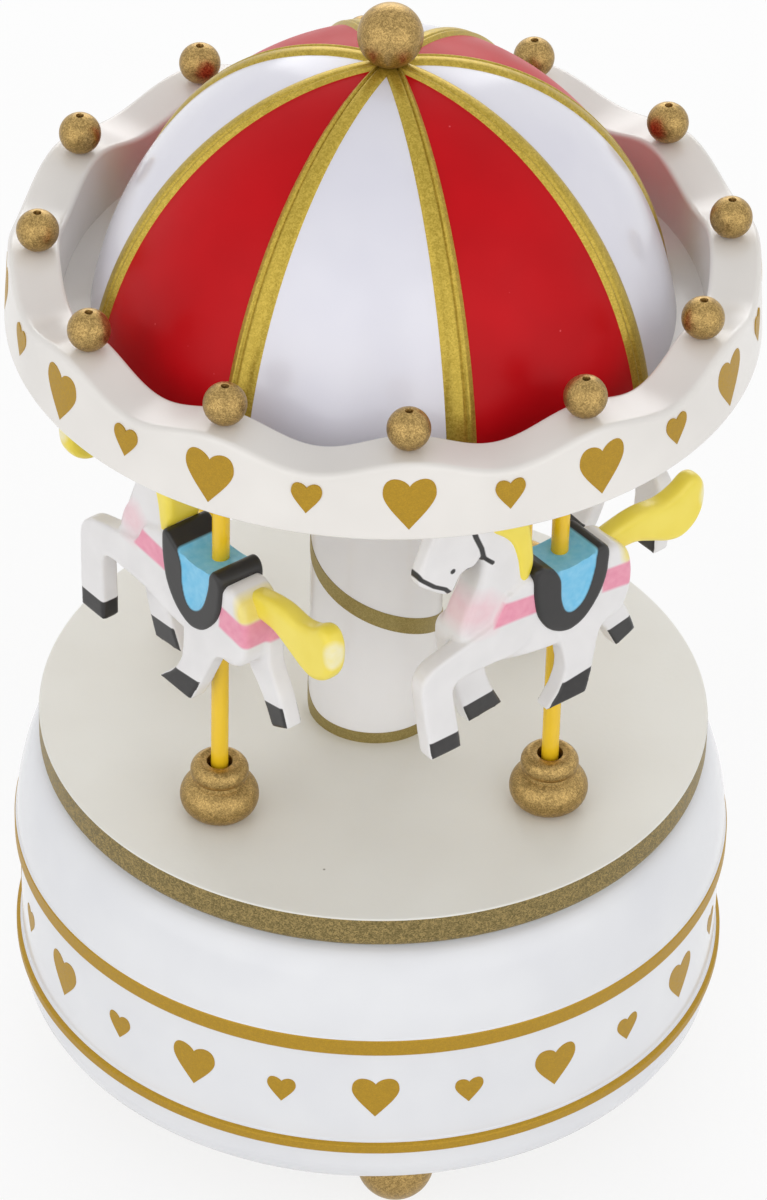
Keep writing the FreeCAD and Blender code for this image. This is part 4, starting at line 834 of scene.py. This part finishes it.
# Painted areas and lines as (u, w)
BRIDLE = [
    [(28.6, 57.4), (27.4, 55.2), (25.1, 53.1), (23.2, 51.9), (21.9, 50.3)],
    [(21.9, 50.3), (20.8, 52.3), (19.4, 53.7), (17.6, 53.6), (16.7, 54.9)],
    [(16.7, 54.9), (17.3, 56.9), (18.4, 59.3), (20, 64), (21.4, 67.4)],
    [(16.7, 54.9), (15.4, 53.7)],
]
EYE = (22, 54.6)
STRAPS = [
    [(7, 45), (7, 41.6), (15.5, 42.3), (13.6, 45.9)],
    [(-5, 43.4), (-5, 39.5), (-12.5, 38.3), (-12.5, 42.6)],
]
BLUSH = [(13.6, 45.6), (15.4, 42.4), (18.5, 42.8), (21.4, 44.4), (20.4, 48.4), (16, 48.2)]
TAIL_ROOT = [(-8.4, 47), (-8.8, 43.8), (-9.6, 42.6), (-13, 42.6), (-13, 49)]
HOOVES = [
    [(29, 27.4), (20.4, 27.4), (20.4, 23), (29, 23)],
    [(8.4, 23), (3.9, 27.5), (-3.6, 28.3), (-1, 23)],
    [(18.6, 25.7), (17, 26.2), (11.2, 26.7), (8.6, 22), (17.5, 22)],
    [(-10.2, 27.3), (-14.6, 28.2), (-17, 25), (-12.2, 22.6)],
]
EYE_RADIUS = 0.45
BRIDLE_HALF = 0.34
# Hooves are painted where they turn to the side by more than this share; the paint ends this fast beyond
HOOF_FACING = 0.62
HOOF_FADE = 1.5
# Farther forward than this, a hoof is painted on its rear side too
FOREHOOF_HEEL = 19.5
WORN_SPOT = (-29, 0.6, 46)
WORN_RADIUS = 3.2

# Half thicknesses, the sides of what is not in the middle, and how far the edges are rounded
TRUNK_HALF = 3.5
NECK_HALF = 2.6
HEAD_HALF = 2.1
MANE_HALF = 3.0
SADDLE_HALF = 4.0
NEAR_FORE_SIDES = (0.5, 3.5)
NEAR_HIND_SIDES = (0.4, 3.4)
FAR_SIDES = (-3.6, -0.6)
TAIL_SIDES = (-2.6, 0.8)
EAR_SIDES = (0.7, 2.0)
TRUNK_EDGE = 1.1
NECK_EDGE = 1.2
HEAD_EDGE = 0.9
LEG_EDGE = 0.45
SOFT_EDGE = 0.5
PILLOW_POINTS = 140
PILLOW_STEPS = 5
SMOOTH_SHARE = 0.5

# The head narrows between these distances forward, by this share
HEAD_TAPER = (16, 28, 0.45)
# Near legs lean outward below a height, by so much at the hoof
FORE_LEAN = (40, 1.1)
HIND_LEAN = (38, 2.4)
HOOF_LEVEL = 24.3
SEAT_DEPTH = 0.45
SEAT_SLOPE = 0.5
SEAT_POINTS = 80
HORSE_OUTSET = 0.6
HORSE_INWARD = 10


def smooth_loop(points, count):
    """Points spread along a smooth closed curve through the given ones."""
    knots = np.array(points, dtype=float)
    total = len(knots)
    lengths = np.linalg.norm(np.roll(knots, -1, 0) - knots, axis=1)
    shares = np.maximum(2, np.round(count * lengths / lengths.sum())).astype(int)
    path = []
    for index in range(total):
        p0, p1, p2, p3 = (knots[(index + shift) % total] for shift in (-1, 0, 1, 2))
        t = (np.arange(shares[index]) / shares[index])[:, None]
        square = (2 * p0 - 5 * p1 + 4 * p2 - p3) * t ** 2
        cube = (3 * p1 - p0 - 3 * p2 + p3) * t ** 3
        path.append(0.5 * (2 * p1 + (p2 - p0) * t + square + cube))
    return np.concatenate(path)


def pillow(points, low, high, edge):
    """A closed slab in the horse's frame between two distances outward, with its edges rounded."""
    loop = smooth_loop(points, PILLOW_POINTS)
    ahead = np.roll(loop, -1, 0) - np.roll(loop, 1, 0)
    ahead /= np.linalg.norm(ahead, axis=1)[:, None]
    area = np.sum(loop[:, 0] * np.roll(loop[:, 1], -1) - np.roll(loop[:, 0], -1) * loop[:, 1])
    inward = np.stack([-ahead[:, 1], ahead[:, 0]], 1) * math.copysign(1, area)
    rings = []
    for step in range(PILLOW_STEPS + 1):
        t = math.pi / 2 * step / PILLOW_STEPS
        rings.append((edge * (1 - math.sin(t)), low + edge * (1 - math.cos(t))))
    rings += [(inset, low + high - side) for inset, side in reversed(rings)]
    total = len(loop)
    vertices = []
    for inset, side in rings:
        vertices += [(u, side, w) for u, w in loop + inward * inset]
    last = (len(rings) - 1) * total
    faces = [tuple(range(total)), tuple(range(last, last + total))]
    for first in range(0, last, total):
        faces += between(first, first + total, total)
    return vertices, faces


def leaned(slab, start, lean):
    """A leg that leans outward below a height, by the most at its hoof."""
    vertices, faces = slab
    share = lean / (start - HOOF_LEVEL)
    return [(u, v + share * max(0, start - w), w) for u, v, w in vertices], faces


def narrowed(slab, start, end, loss):
    """A head that loses part of its thickness between two distances forward."""
    vertices, faces = slab
    kept = [1 - loss * np.clip((u - start) / (end - start), 0, 1) for u, v, w in vertices]
    return [(u, v * share, w) for (u, v, w), share in zip(vertices, kept)], faces


def blended(name, slabs, voxel, rounds):
    """The slabs joined into one skin, with soft inside corners; its points stay in millimetres."""
    points = []
    faces = []
    for vertices, polygons in slabs:
        faces += [tuple(index + len(points) for index in polygon) for polygon in polygons]
        points += vertices
    mesh = bpy.data.meshes.new(name)
    mesh.from_pydata(points, [], faces)
    work = bmesh.new()
    work.from_mesh(mesh)
    bmesh.ops.triangulate(work, faces=[face for face in work.faces if len(face.verts) > 4])
    bmesh.ops.recalc_face_normals(work, faces=work.faces)
    work.to_mesh(mesh)
    work.free()
    thing = new_object(name, mesh)
    skin = thing.modifiers.new("skin", "REMESH")
    skin.mode = "VOXEL"
    skin.voxel_size = voxel
    soft = thing.modifiers.new("soft", "SMOOTH")
    soft.factor = SMOOTH_SHARE
    soft.iterations = rounds
    result = evaluated(thing)
    bpy.data.objects.remove(thing)
    bpy.data.meshes.remove(mesh)
    return result


def to_lines(points, lines):
    """Distance of each point to the nearest of some polylines."""
    best = np.full(len(points), np.inf)
    for line in lines:
        for start, end in zip(line[:-1], line[1:]):
            a, b = np.array(start), np.array(end)
            along = np.clip(((points - a) @ (b - a)) / ((b - a) @ (b - a)), 0, 1)
            best = np.minimum(best, np.linalg.norm(points - a - along[:, None] * (b - a), axis=1))
    return best


def to_outline(points, corners):
    """Signed distance to a closed outline, below zero inside it."""
    knots = np.array(corners, dtype=float)
    x, y = points.T
    inside = np.zeros(len(points), dtype=bool)
    for (ax, ay), (bx, by) in zip(knots, np.roll(knots, -1, 0)):
        if ay != by:
            level = (y - ay) / (by - ay)
            inside ^= ((y > ay) != (y > by)) & (x < ax + level * (bx - ax))
    distance = to_lines(points, [[*corners, corners[0]]])
    return np.where(inside, -distance, distance)


def paint_skin(mesh):
    """Keeps signed distances to the painted areas, below zero inside, with the mesh."""
    flat = vertex_values(mesh, "co")[:, (0, 2)]
    facing = vertex_values(mesh, "normal")
    painted = np.abs(facing[:, 1])
    forehoof = flat[:, 0] > FOREHOOF_HEEL
    painted[forehoof] = np.maximum(painted, -facing[:, 0])[forehoof]
    bridle = to_lines(flat, BRIDLE) - BRIDLE_HALF
    eye = np.linalg.norm(flat - np.array(EYE), axis=1) - EYE_RADIUS
    hooves = np.min([to_outline(flat, corners) for corners in HOOVES], axis=0)
    hooves = np.maximum(hooves, (HOOF_FACING - painted) * HOOF_FADE)
    keep_values(mesh, "black", np.min([bridle, eye, hooves], axis=0))
    keep_values(mesh, "pink", np.min([to_outline(flat, corners) for corners in STRAPS], axis=0))
    keep_values(mesh, "blush", to_outline(flat, BLUSH))
    keep_values(mesh, "yellow", to_outline(flat, TAIL_ROOT))


def hollow_seat(mesh):
    """The seat lies a little below the saddle's rim, on both sides and on top."""
    places = vertex_values(mesh, "co")
    distance = to_outline(places[:, (0, 2)], [tuple(knot) for knot in smooth_loop(SEAT, SEAT_POINTS)])
    keep_values(mesh, "seat", distance)
    depth = SEAT_DEPTH * np.clip(-distance / SEAT_SLOPE, 0, 1)
    places -= vertex_values(mesh, "normal") * depth[:, None]
    mesh.vertices.foreach_set("co", places.ravel())


def horse_mesh():
    """One horse in its own frame, as a mesh with the skin, the hair and the saddle."""
    inner, outer = EAR_SIDES
    skin = blended("horse_skin", [
        pillow(TRUNK, -TRUNK_HALF, TRUNK_HALF, TRUNK_EDGE),
        pillow(NECK, -NECK_HALF, NECK_HALF, NECK_EDGE),
        narrowed(pillow(HEAD, -HEAD_HALF, HEAD_HALF, HEAD_EDGE), *HEAD_TAPER),
        leaned(pillow(NEAR_FORELEG, *NEAR_FORE_SIDES, LEG_EDGE), *FORE_LEAN),
        leaned(pillow(NEAR_HINDLEG, *NEAR_HIND_SIDES, LEG_EDGE), *HIND_LEAN),
        pillow(FAR_FORELEG, *FAR_SIDES, LEG_EDGE),
        pillow(FAR_HINDLEG, *FAR_SIDES, LEG_EDGE),
        pillow(EAR, inner, outer, SOFT_EDGE),
        pillow(EAR, -outer, -inner, SOFT_EDGE),
    ], voxel=0.3, rounds=2)
    paint_skin(skin)
    saddle = blended("horse_saddle", [
        pillow(SADDLE, -SADDLE_HALF, SADDLE_HALF, SOFT_EDGE),
    ], voxel=0.26, rounds=3)
    hollow_seat(saddle)
    hair = blended("horse_hair", [
        pillow(TAIL, *TAIL_SIDES, NECK_EDGE), pillow(MANE, -MANE_HALF, MANE_HALF, HEAD_EDGE),
    ], voxel=0.36, rounds=4)
    keep_values(hair, "worn", np.linalg.norm(vertex_values(hair, "co") - WORN_SPOT, axis=1) - WORN_RADIUS)
    meshes = [(skin, HORSE_WHITE), (hair, HORSE_YELLOW), (saddle, HORSE_SADDLE)]
    work = bmesh.new()
    for index, (mesh, material) in enumerate(meshes):
        mesh.materials.clear()
        mesh.materials.append(material)
        mesh.polygons.foreach_set("material_index", [index] * len(mesh.polygons))
        work.from_mesh(mesh)
    whole = bpy.data.meshes.new("horse")
    work.to_mesh(whole)
    work.free()
    for mesh, material in meshes:
        whole.materials.append(material)
        bpy.data.meshes.remove(mesh)
    whole.shade_smooth()
    whole.transform(Matrix.Translation((0, HORSE_OUTSET, 0)))
    whole.transform(Matrix.Scale(MM, 4))
    return whole


def horses():
    """A horse at each pole, headed a little inward from the way round."""
    pattern = horse_mesh()
    for index, name in enumerate(numbered("horse", POLE_COUNT)):
        turn = math.radians(POLE_TURN) + TAU * index / POLE_COUNT
        mesh = pattern.copy()
        place = Vector((POLE_CIRCLE * math.sin(turn), -POLE_CIRCLE * math.cos(turn), PLATFORM_TOP)) * MM
        heading = Matrix.Rotation(math.pi + turn - math.radians(HORSE_INWARD), 4, "Z")
        mesh.transform(Matrix.Translation(place) @ heading)
        horse = new_object(f"{name}_v", mesh)
        stand_in(horse, "carousel", "horse_plastic", name)
    bpy.data.meshes.remove(pattern)


# Canopy: wavy ring with crown beads, plate, dome with ribs, finial

RING_STEP = 1.5
RING_SEAT = 50.1
RING_FOOT_RADIUS = 54.95
RING_TOP_RADIUS = 54.2
RING_UNDER_ROUND = 0.6
RIM_INSIDE = 46.8
RIM_ROUND = 0.9
RIM_INSIDE_ROUND = 0.7
RING_INSIDE_FOOT = 46.6
RING_SEAT_ROUND = 0.2
WAVE_START = 138.5

PLATE_RADIUS = 50.0
SPIGOT_RADIUS = 8.4
SPIGOT_BORE = 6.9
SPIGOT_UNDER = 129.2

CROWN_CIRCLE = 49.9
CROWN_BEAD_RADIUS = 3.1
CROWN_BEAD_CENTRE = 3.0
CROWN_HOLE = 0.6
CROWN_LIP = 0.564
CROWN_LIP_DROP = 0.05
CROWN_BORE = 0.54
CROWN_HOLE_DEPTH = 1.6
CROWN_STEPS = 28

DOME_WALL = 2
DOME_STEPS = 64

# A rib's points across and up, its gaps to the plate and to the top in radians, and how deep its root lies
RIB_ACROSS = 29
RIB_ROWS = 72
RIB_FOOT_GAP = 0.002
RIB_TOP_GAP = 0.035
RIB_ROOT = -0.5
RIB_SHARP = 60
# Half width at the foot, and what it loses to the top
RIB_HALF = 2.3
RIB_LOSS = 0.95
RIB_STAND = 0.62
RIB_SINK = 0.08
# Height, place across and width of the groove and of the fine ridge
RIB_GROOVE = (-0.26, 0.34, 0.1)
RIB_RIDGE = (0.14, 0.62, 0.12)

FINIAL_RADIUS = 4.7
FINIAL_FLAT = 177.73
PEG_RADIUS = 1.45
PEG_UNDER = 171.7
PEG_TOP = 177.6


def canopy_ring():
    """The ivory ring, with a wavy rim and a seat for the plate."""
    profile = corner_path([
        (RING_SEAT, CANOPY_UNDER, RING_SEAT_ROUND), (RING_FOOT_RADIUS, CANOPY_UNDER, RING_UNDER_ROUND),
        (RING_TOP_RADIUS, RING_TOP, RIM_ROUND), (RIM_INSIDE, RING_TOP, RIM_INSIDE_ROUND),
        (RING_INSIDE_FOOT, PLATE_TOP, 0), (RING_SEAT, PLATE_TOP, 0),
    ])
    filled = []
    for (x, y), (next_x, next_y) in zip(profile, profile[1:] + profile[:1]):
        pieces = max(1, round(math.dist((x, y), (next_x, next_y)) / RING_STEP))
        shares = [step / pieces for step in range(pieces)]
        filled += [(x + (next_x - x) * share, y + (next_y - y) * share) for share in shares]
    ring = turned("canopy_ring_v", filled, [IVORY_ABS], segments=360)
    grow(ring, WAVE, {
        "Waves": WAVE_COUNT, "Depth": WAVE_DEPTH * MM, "Start": WAVE_START * MM,
        "Top": (RING_TOP - RIM_ROUND) * MM, "Paint": IVORY_ABS,
    })
    stand_in(ring, "carousel", "canopy_ivory", "canopy_ring")


def canopy_plate():
    """The plate that closes the canopy from below, with a spigot in the column."""
    plate = turned("canopy_plate_v", [
        (0.0, CANOPY_UNDER), (SPIGOT_BORE, CANOPY_UNDER), (SPIGOT_BORE, SPIGOT_UNDER),
        (SPIGOT_RADIUS, SPIGOT_UNDER), (SPIGOT_RADIUS, CANOPY_UNDER), (PLATE_RADIUS, CANOPY_UNDER),
        (PLATE_RADIUS, PLATE_TOP), (0.0, PLATE_TOP),
    ], [IVORY_ABS], segments=192, closed=False)
    stand_in(plate, "carousel", "canopy_ivory", "canopy_plate")


def crown_beads():
    """A bead on each crest of the rim, with a hole drilled down from its top."""
    start = math.degrees(math.asin(-CROWN_BEAD_CENTRE / CROWN_BEAD_RADIUS))
    end = math.degrees(math.acos(CROWN_HOLE / CROWN_BEAD_RADIUS))
    ball = arc(0, CROWN_BEAD_CENTRE, CROWN_BEAD_RADIUS, start, end, CROWN_STEPS)
    lip = ball[-1][1]
    hole = [
        (CROWN_LIP, lip - CROWN_LIP_DROP), (CROWN_BORE, lip - CROWN_HOLE_DEPTH),
        (0.0, lip - CROWN_HOLE_DEPTH),
    ]
    bead = turned("crown_beads_v", [(0.0, 0.0), *ball, *hole], [GOLD_BEAD], segments=48, closed=False)
    place_round(bead, WAVE_COUNT, CROWN_CIRCLE, RING_TOP)
    stand_in(bead, "carousel", "gold_bead", *numbered("crown_bead", WAVE_COUNT), "crown_pins")


def egg(angle, wall=0):
    """Radius and height on the dome, at an angle up from its centre, on its outside or a wall further in."""
    return (DOME_RADIUS - wall) * math.cos(angle), DOME_CENTRE + (DOME_RISE - wall) * math.sin(angle)


def plate_angle(wall=0):
    """The angle at which the dome meets the plate."""
    return math.asin((PLATE_TOP - DOME_CENTRE) / (DOME_RISE - wall))


def dome():
    """A shell of red and white segments, with a gold rib over each seam."""
    top = math.pi / 2
    outside = [egg(angle) for angle in np.linspace(plate_angle(), top, DOME_STEPS)]
    inside_angles = np.linspace(top, plate_angle(DOME_WALL), DOME_STEPS // 2)
    inside = [egg(angle, DOME_WALL) for angle in inside_angles]
    outside[-1] = (0.0, outside[-1][1])
    inside[0] = (0.0, inside[0][1])
    shell = turned("dome_v", outside + inside, [WHITE_LACQUER, RED_LACQUER], segments=256)
    mesh = shell.data
    centres = np.empty(len(mesh.polygons) * 3)
    mesh.polygons.foreach_get("center", centres)
    centres = centres.reshape(-1, 3)
    angle = np.degrees(np.arctan2(centres[:, 0], -centres[:, 1])) - RIB_TURN
    segment = np.floor(angle / (360 / RIB_COUNT)).astype(int)
    mesh.polygons.foreach_set("material_index", (segment % 2 == 0).astype(np.int32))
    stand_in(shell, "carousel", "dome_enamel", "dome")

    ribs = rib_pair("dome_ribs_v")
    place_round(ribs, RIB_COUNT // 2, turn=RIB_TURN)
    stand_in(ribs, "carousel", "gold_bead")


def bump(share, height, place, width):
    """Height of a soft ridge, or of a groove if it is below zero, at a place across a rib."""
    return height * math.exp(-((share - place) / width) ** 2)


def rib_height(share):
    """Height of a rib above the dome, across it from the white side at -1 to the red side at 1."""
    crown = RIB_STAND * (1 - abs(share) ** 3)
    return crown + bump(share, *RIB_GROOVE) + bump(share, *RIB_RIDGE) - RIB_SINK


def rib_pair(name):
    """Two neighbour ribs up the dome, mirrored so that each has its fine ridge beside the red segment."""
    across = np.linspace(-1, 1, RIB_ACROSS)
    rows = np.linspace(plate_angle() + RIB_FOOT_GAP, math.pi / 2 - RIB_TOP_GAP, RIB_ROWS)
    section = [(share, rib_height(share)) for share in across] + [(share, RIB_ROOT) for share in across[::-1]]
    width = len(section)
    points = []
    faces = []
    for hand, turn in ((1, 0.0), (-1, -TAU / RIB_COUNT)):
        first = len(points)
        for angle in rows:
            climb = (angle - rows[0]) / (rows[-1] - rows[0])
            half = RIB_HALF - RIB_LOSS * climb ** 1.5
            radius, level = egg(angle)
            tilt = math.atan2(math.sin(angle) / DOME_RISE, math.cos(angle) / DOME_RADIUS)
            for share, stand in section:
                x = half * share * hand
                reach = math.sqrt(max(radius ** 2 - x ** 2, 0)) + stand * math.cos(tilt)
                spot = Matrix.Rotation(turn, 3, "Z") @ Vector((x, -reach, level + stand * math.sin(tilt)))
                points.append(tuple(spot))
        last = len(points) - width
        faces += [tuple(range(first, first + width)), tuple(range(last, last + width))]
        for row in range(first, last, width):
            faces += between(row, row + width, width)
    return mesh_object(name, points, faces, [GOLD_RIB], sharp=RIB_SHARP)


def finial():
    """A ball on a peg that sits in the dome's top."""
    profile = [(0.0, PEG_UNDER), (PEG_RADIUS, PEG_UNDER), (PEG_RADIUS, PEG_TOP)]
    profile += ball_profile(FINIAL_RADIUS, FINIAL_CENTRE, FINIAL_FLAT, steps=40)[1:]
    ball = turned("finial_v", profile, [GOLD_BEAD], segments=64, closed=False)
    stand_in(ball, "carousel", "gold_bead", "finial_ball")


base_shell()
heart_band(
    "base_hearts", "base", radius=BAND_RADIUS, level=29.8, flare=0.0, turn=-2.6, big=(7.1, 7.5),
    small=(4.4, 4.6)
)
feet()
platform()
column()
poles_and_beads()
horses()
canopy_ring()
canopy_plate()
crown_beads()
heart_band(
    "canopy_hearts", "carousel", radius=54.58, level=140.3, flare=-0.0595, turn=0.0, big=(7.5, 8.3),
    small=(4.4, 4.8)
)
dome()
finial()

# Hidden pieces keep their CAD shapes
INNER = {
    COVER_BOARD: ["bottom_cover"],
    STEEL: ["cover_screws", "foot_screws", "bedplate_screws", "comb_screws", "hub_screws", "canopy_screws",
            "winding_shaft", "cylinder_arbor", "spring_posts", "mainspring", "comb"],
    ZINC: ["movement_bedplate", "inner_end_plate", "outer_end_plate", "spring_housing"],
    BRASS: ["shaft_bush", "pinned_cylinder", "cylinder_gear", "governor_wheel", "crown_wheel"],
    NYLON: ["fly", "thrust_washer", "column_hub"],
}
for material, names in INNER.items():
    for name in names:
        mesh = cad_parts[name].data
        mesh.materials.clear()
        mesh.materials.append(material)


# Studio: white floor, soft lamps, pale walls and a darker ceiling

FLOOR_HALF = 3.0
FLOOR_LEVEL = -0.05 * MM
# Share of the floor that shows clean white; the rest keeps the shadow
CLEAN_FLOOR = 0.82
WALL_LIGHT = 0.74
CEILING_LIGHT = 0.60
LAMP_AIM = Vector((0, 0, 0.1))
# Each lamp's place and size in metres and its power in watts
LAMPS = {
    "left_lamp": ((-0.75, -0.72, 0.40), (1.2, 1.2), 3.45),
    "right_lamp": ((0.63, -0.82, 0.40), (1.2, 1.2), 3.25),
    "back_lamp": ((0.1, 1.0, 0.55), (0.9, 0.6), 4.0),
}


def background_seen(tree):
    """One for rays that show the white background: straight to the camera, by gloss or through glass."""
    path = add(tree, "ShaderNodeLightPath")
    seen = path.outputs["Is Camera Ray"]
    for kind in ("Is Glossy Ray", "Is Transmission Ray"):
        seen = add(tree, "ShaderNodeMath", {0: seen, 1: path.outputs[kind]}, operation="MAXIMUM")
    return seen


def white_paper():
    """White paper, matte: clean white to the eye apart from a soft shadow, and open to a view from below."""
    material, tree, place = start_finish("white_paper")
    clouds = add(tree, "ShaderNodeTexNoise", {"Vector": place, "Scale": 1 / PAPER_CLOUD})
    whites = [(CLOUD_LOW, "#F2F2F2"), (CLOUD_HIGH, "#F5F5F5")]
    paper = add(tree, "ShaderNodeValToRGB", {"Fac": clouds}, whites)
    lit = add(tree, "ShaderNodeBsdfPrincipled", {"Base Color": paper, "Roughness": 0.7})
    clean = add(tree, "ShaderNodeEmission", {"Color": colour("#FFFFFF"), "Strength": 1.0})
    share = add(tree, "ShaderNodeMath", {0: background_seen(tree), 1: CLEAN_FLOOR}, operation="MULTIPLY")
    upper = add(tree, "ShaderNodeMixShader", {0: share, 1: lit, 2: clean})
    below = add(tree, "ShaderNodeNewGeometry").outputs["Backfacing"]
    open_view = add(tree, "ShaderNodeBsdfTransparent")
    surface = add(tree, "ShaderNodeMixShader", {0: below, 1: upper, 2: open_view})
    add(tree, "ShaderNodeOutputMaterial", {"Surface": surface})
    return material


def studio_floor():
    """A floor just below the feet."""
    mesh = bpy.data.meshes.new("floor")
    sides = [(-1, -1), (1, -1), (1, 1), (-1, 1)]
    mesh.from_pydata([(x * FLOOR_HALF, y * FLOOR_HALF, FLOOR_LEVEL) for x, y in sides], [], [(0, 1, 2, 3)])
    mesh.materials.append(white_paper())
    floor = new_object("floor", mesh)


def studio_walls():
    """Walls and ceiling that light the piece, and a clean white where the background itself is seen."""
    world = bpy.data.worlds.new("studio")
    world.use_nodes = True
    bpy.context.scene.world = world
    tree = world.node_tree
    tree.nodes.clear()
    direction = add(tree, "ShaderNodeTexCoord").outputs["Generated"]
    height = add(tree, "ShaderNodeSeparateXYZ", {0: direction}).outputs["Z"]
    walls = add(tree, "ShaderNodeMapRange", {
        "Value": height, "From Min": 0.1, "From Max": 0.8, "To Min": WALL_LIGHT, "To Max": CEILING_LIGHT,
    })
    strength = add(tree, "ShaderNodeMix", {0: background_seen(tree), 2: walls, 3: 1.0}, data_type="FLOAT")
    background = add(tree, "ShaderNodeBackground", {"Color": colour("#FFFFFF"), "Strength": strength})
    add(tree, "ShaderNodeOutputWorld", {"Surface": background})


def studio_lamps():
    """Broad soft lamps, all aimed at the middle of the piece."""
    for name, (place, size, power) in LAMPS.items():
        data = bpy.data.lights.new(name, "AREA")
        data.shape = "RECTANGLE"
        data.size, data.size_y = size
        data.energy = power
        lamp = new_object(name, data)
        lamp.location = place
        lamp.rotation_euler = (LAMP_AIM - Vector(place)).to_track_quat("-Z", "Y").to_euler()


# Camera: the photo's view, with angles in degrees, lengths in millimetres and the lens in the photo's pixels

AZIMUTH = -4.55
ELEVATION = 37.72
ROLL = -1.495
DISTANCE = 931.8
TARGET_RIGHT = 1.10
TARGET_HEIGHT = 81.5
FOCAL_PIXELS = 6200
PHOTO_HEIGHT = 1200
SENSOR_HEIGHT = 24.0


def camera():
    """From a little left of the front, well above, through a long lens."""
    azimuth, elevation, roll = (math.radians(angle) for angle in (AZIMUTH, ELEVATION, ROLL))
    right = Vector((math.cos(azimuth), math.sin(azimuth), 0))
    back = Vector((math.sin(azimuth), -math.cos(azimuth), 0)) * math.cos(elevation)
    back.z = math.sin(elevation)
    up = back.cross(right)
    target = right * (TARGET_RIGHT * MM) + Vector((0, 0, TARGET_HEIGHT * MM))
    across = right * math.cos(roll) - up * math.sin(roll)
    upward = right * math.sin(roll) + up * math.cos(roll)
    data = bpy.data.cameras.new("camera")
    data.sensor_fit = "VERTICAL"
    data.sensor_height = SENSOR_HEIGHT
    data.lens = FOCAL_PIXELS / PHOTO_HEIGHT * SENSOR_HEIGHT
    data.clip_start = 0.01
    view = new_object("camera", data)
    facing = Matrix((across, upward, back)).transposed().to_4x4()
    view.matrix_world = Matrix.Translation(target + back * (DISTANCE * MM)) @ facing
    bpy.context.scene.camera = view


studio_floor()
studio_walls()
studio_lamps()
camera()
bpy.context.scene.view_settings.view_transform = "Standard"
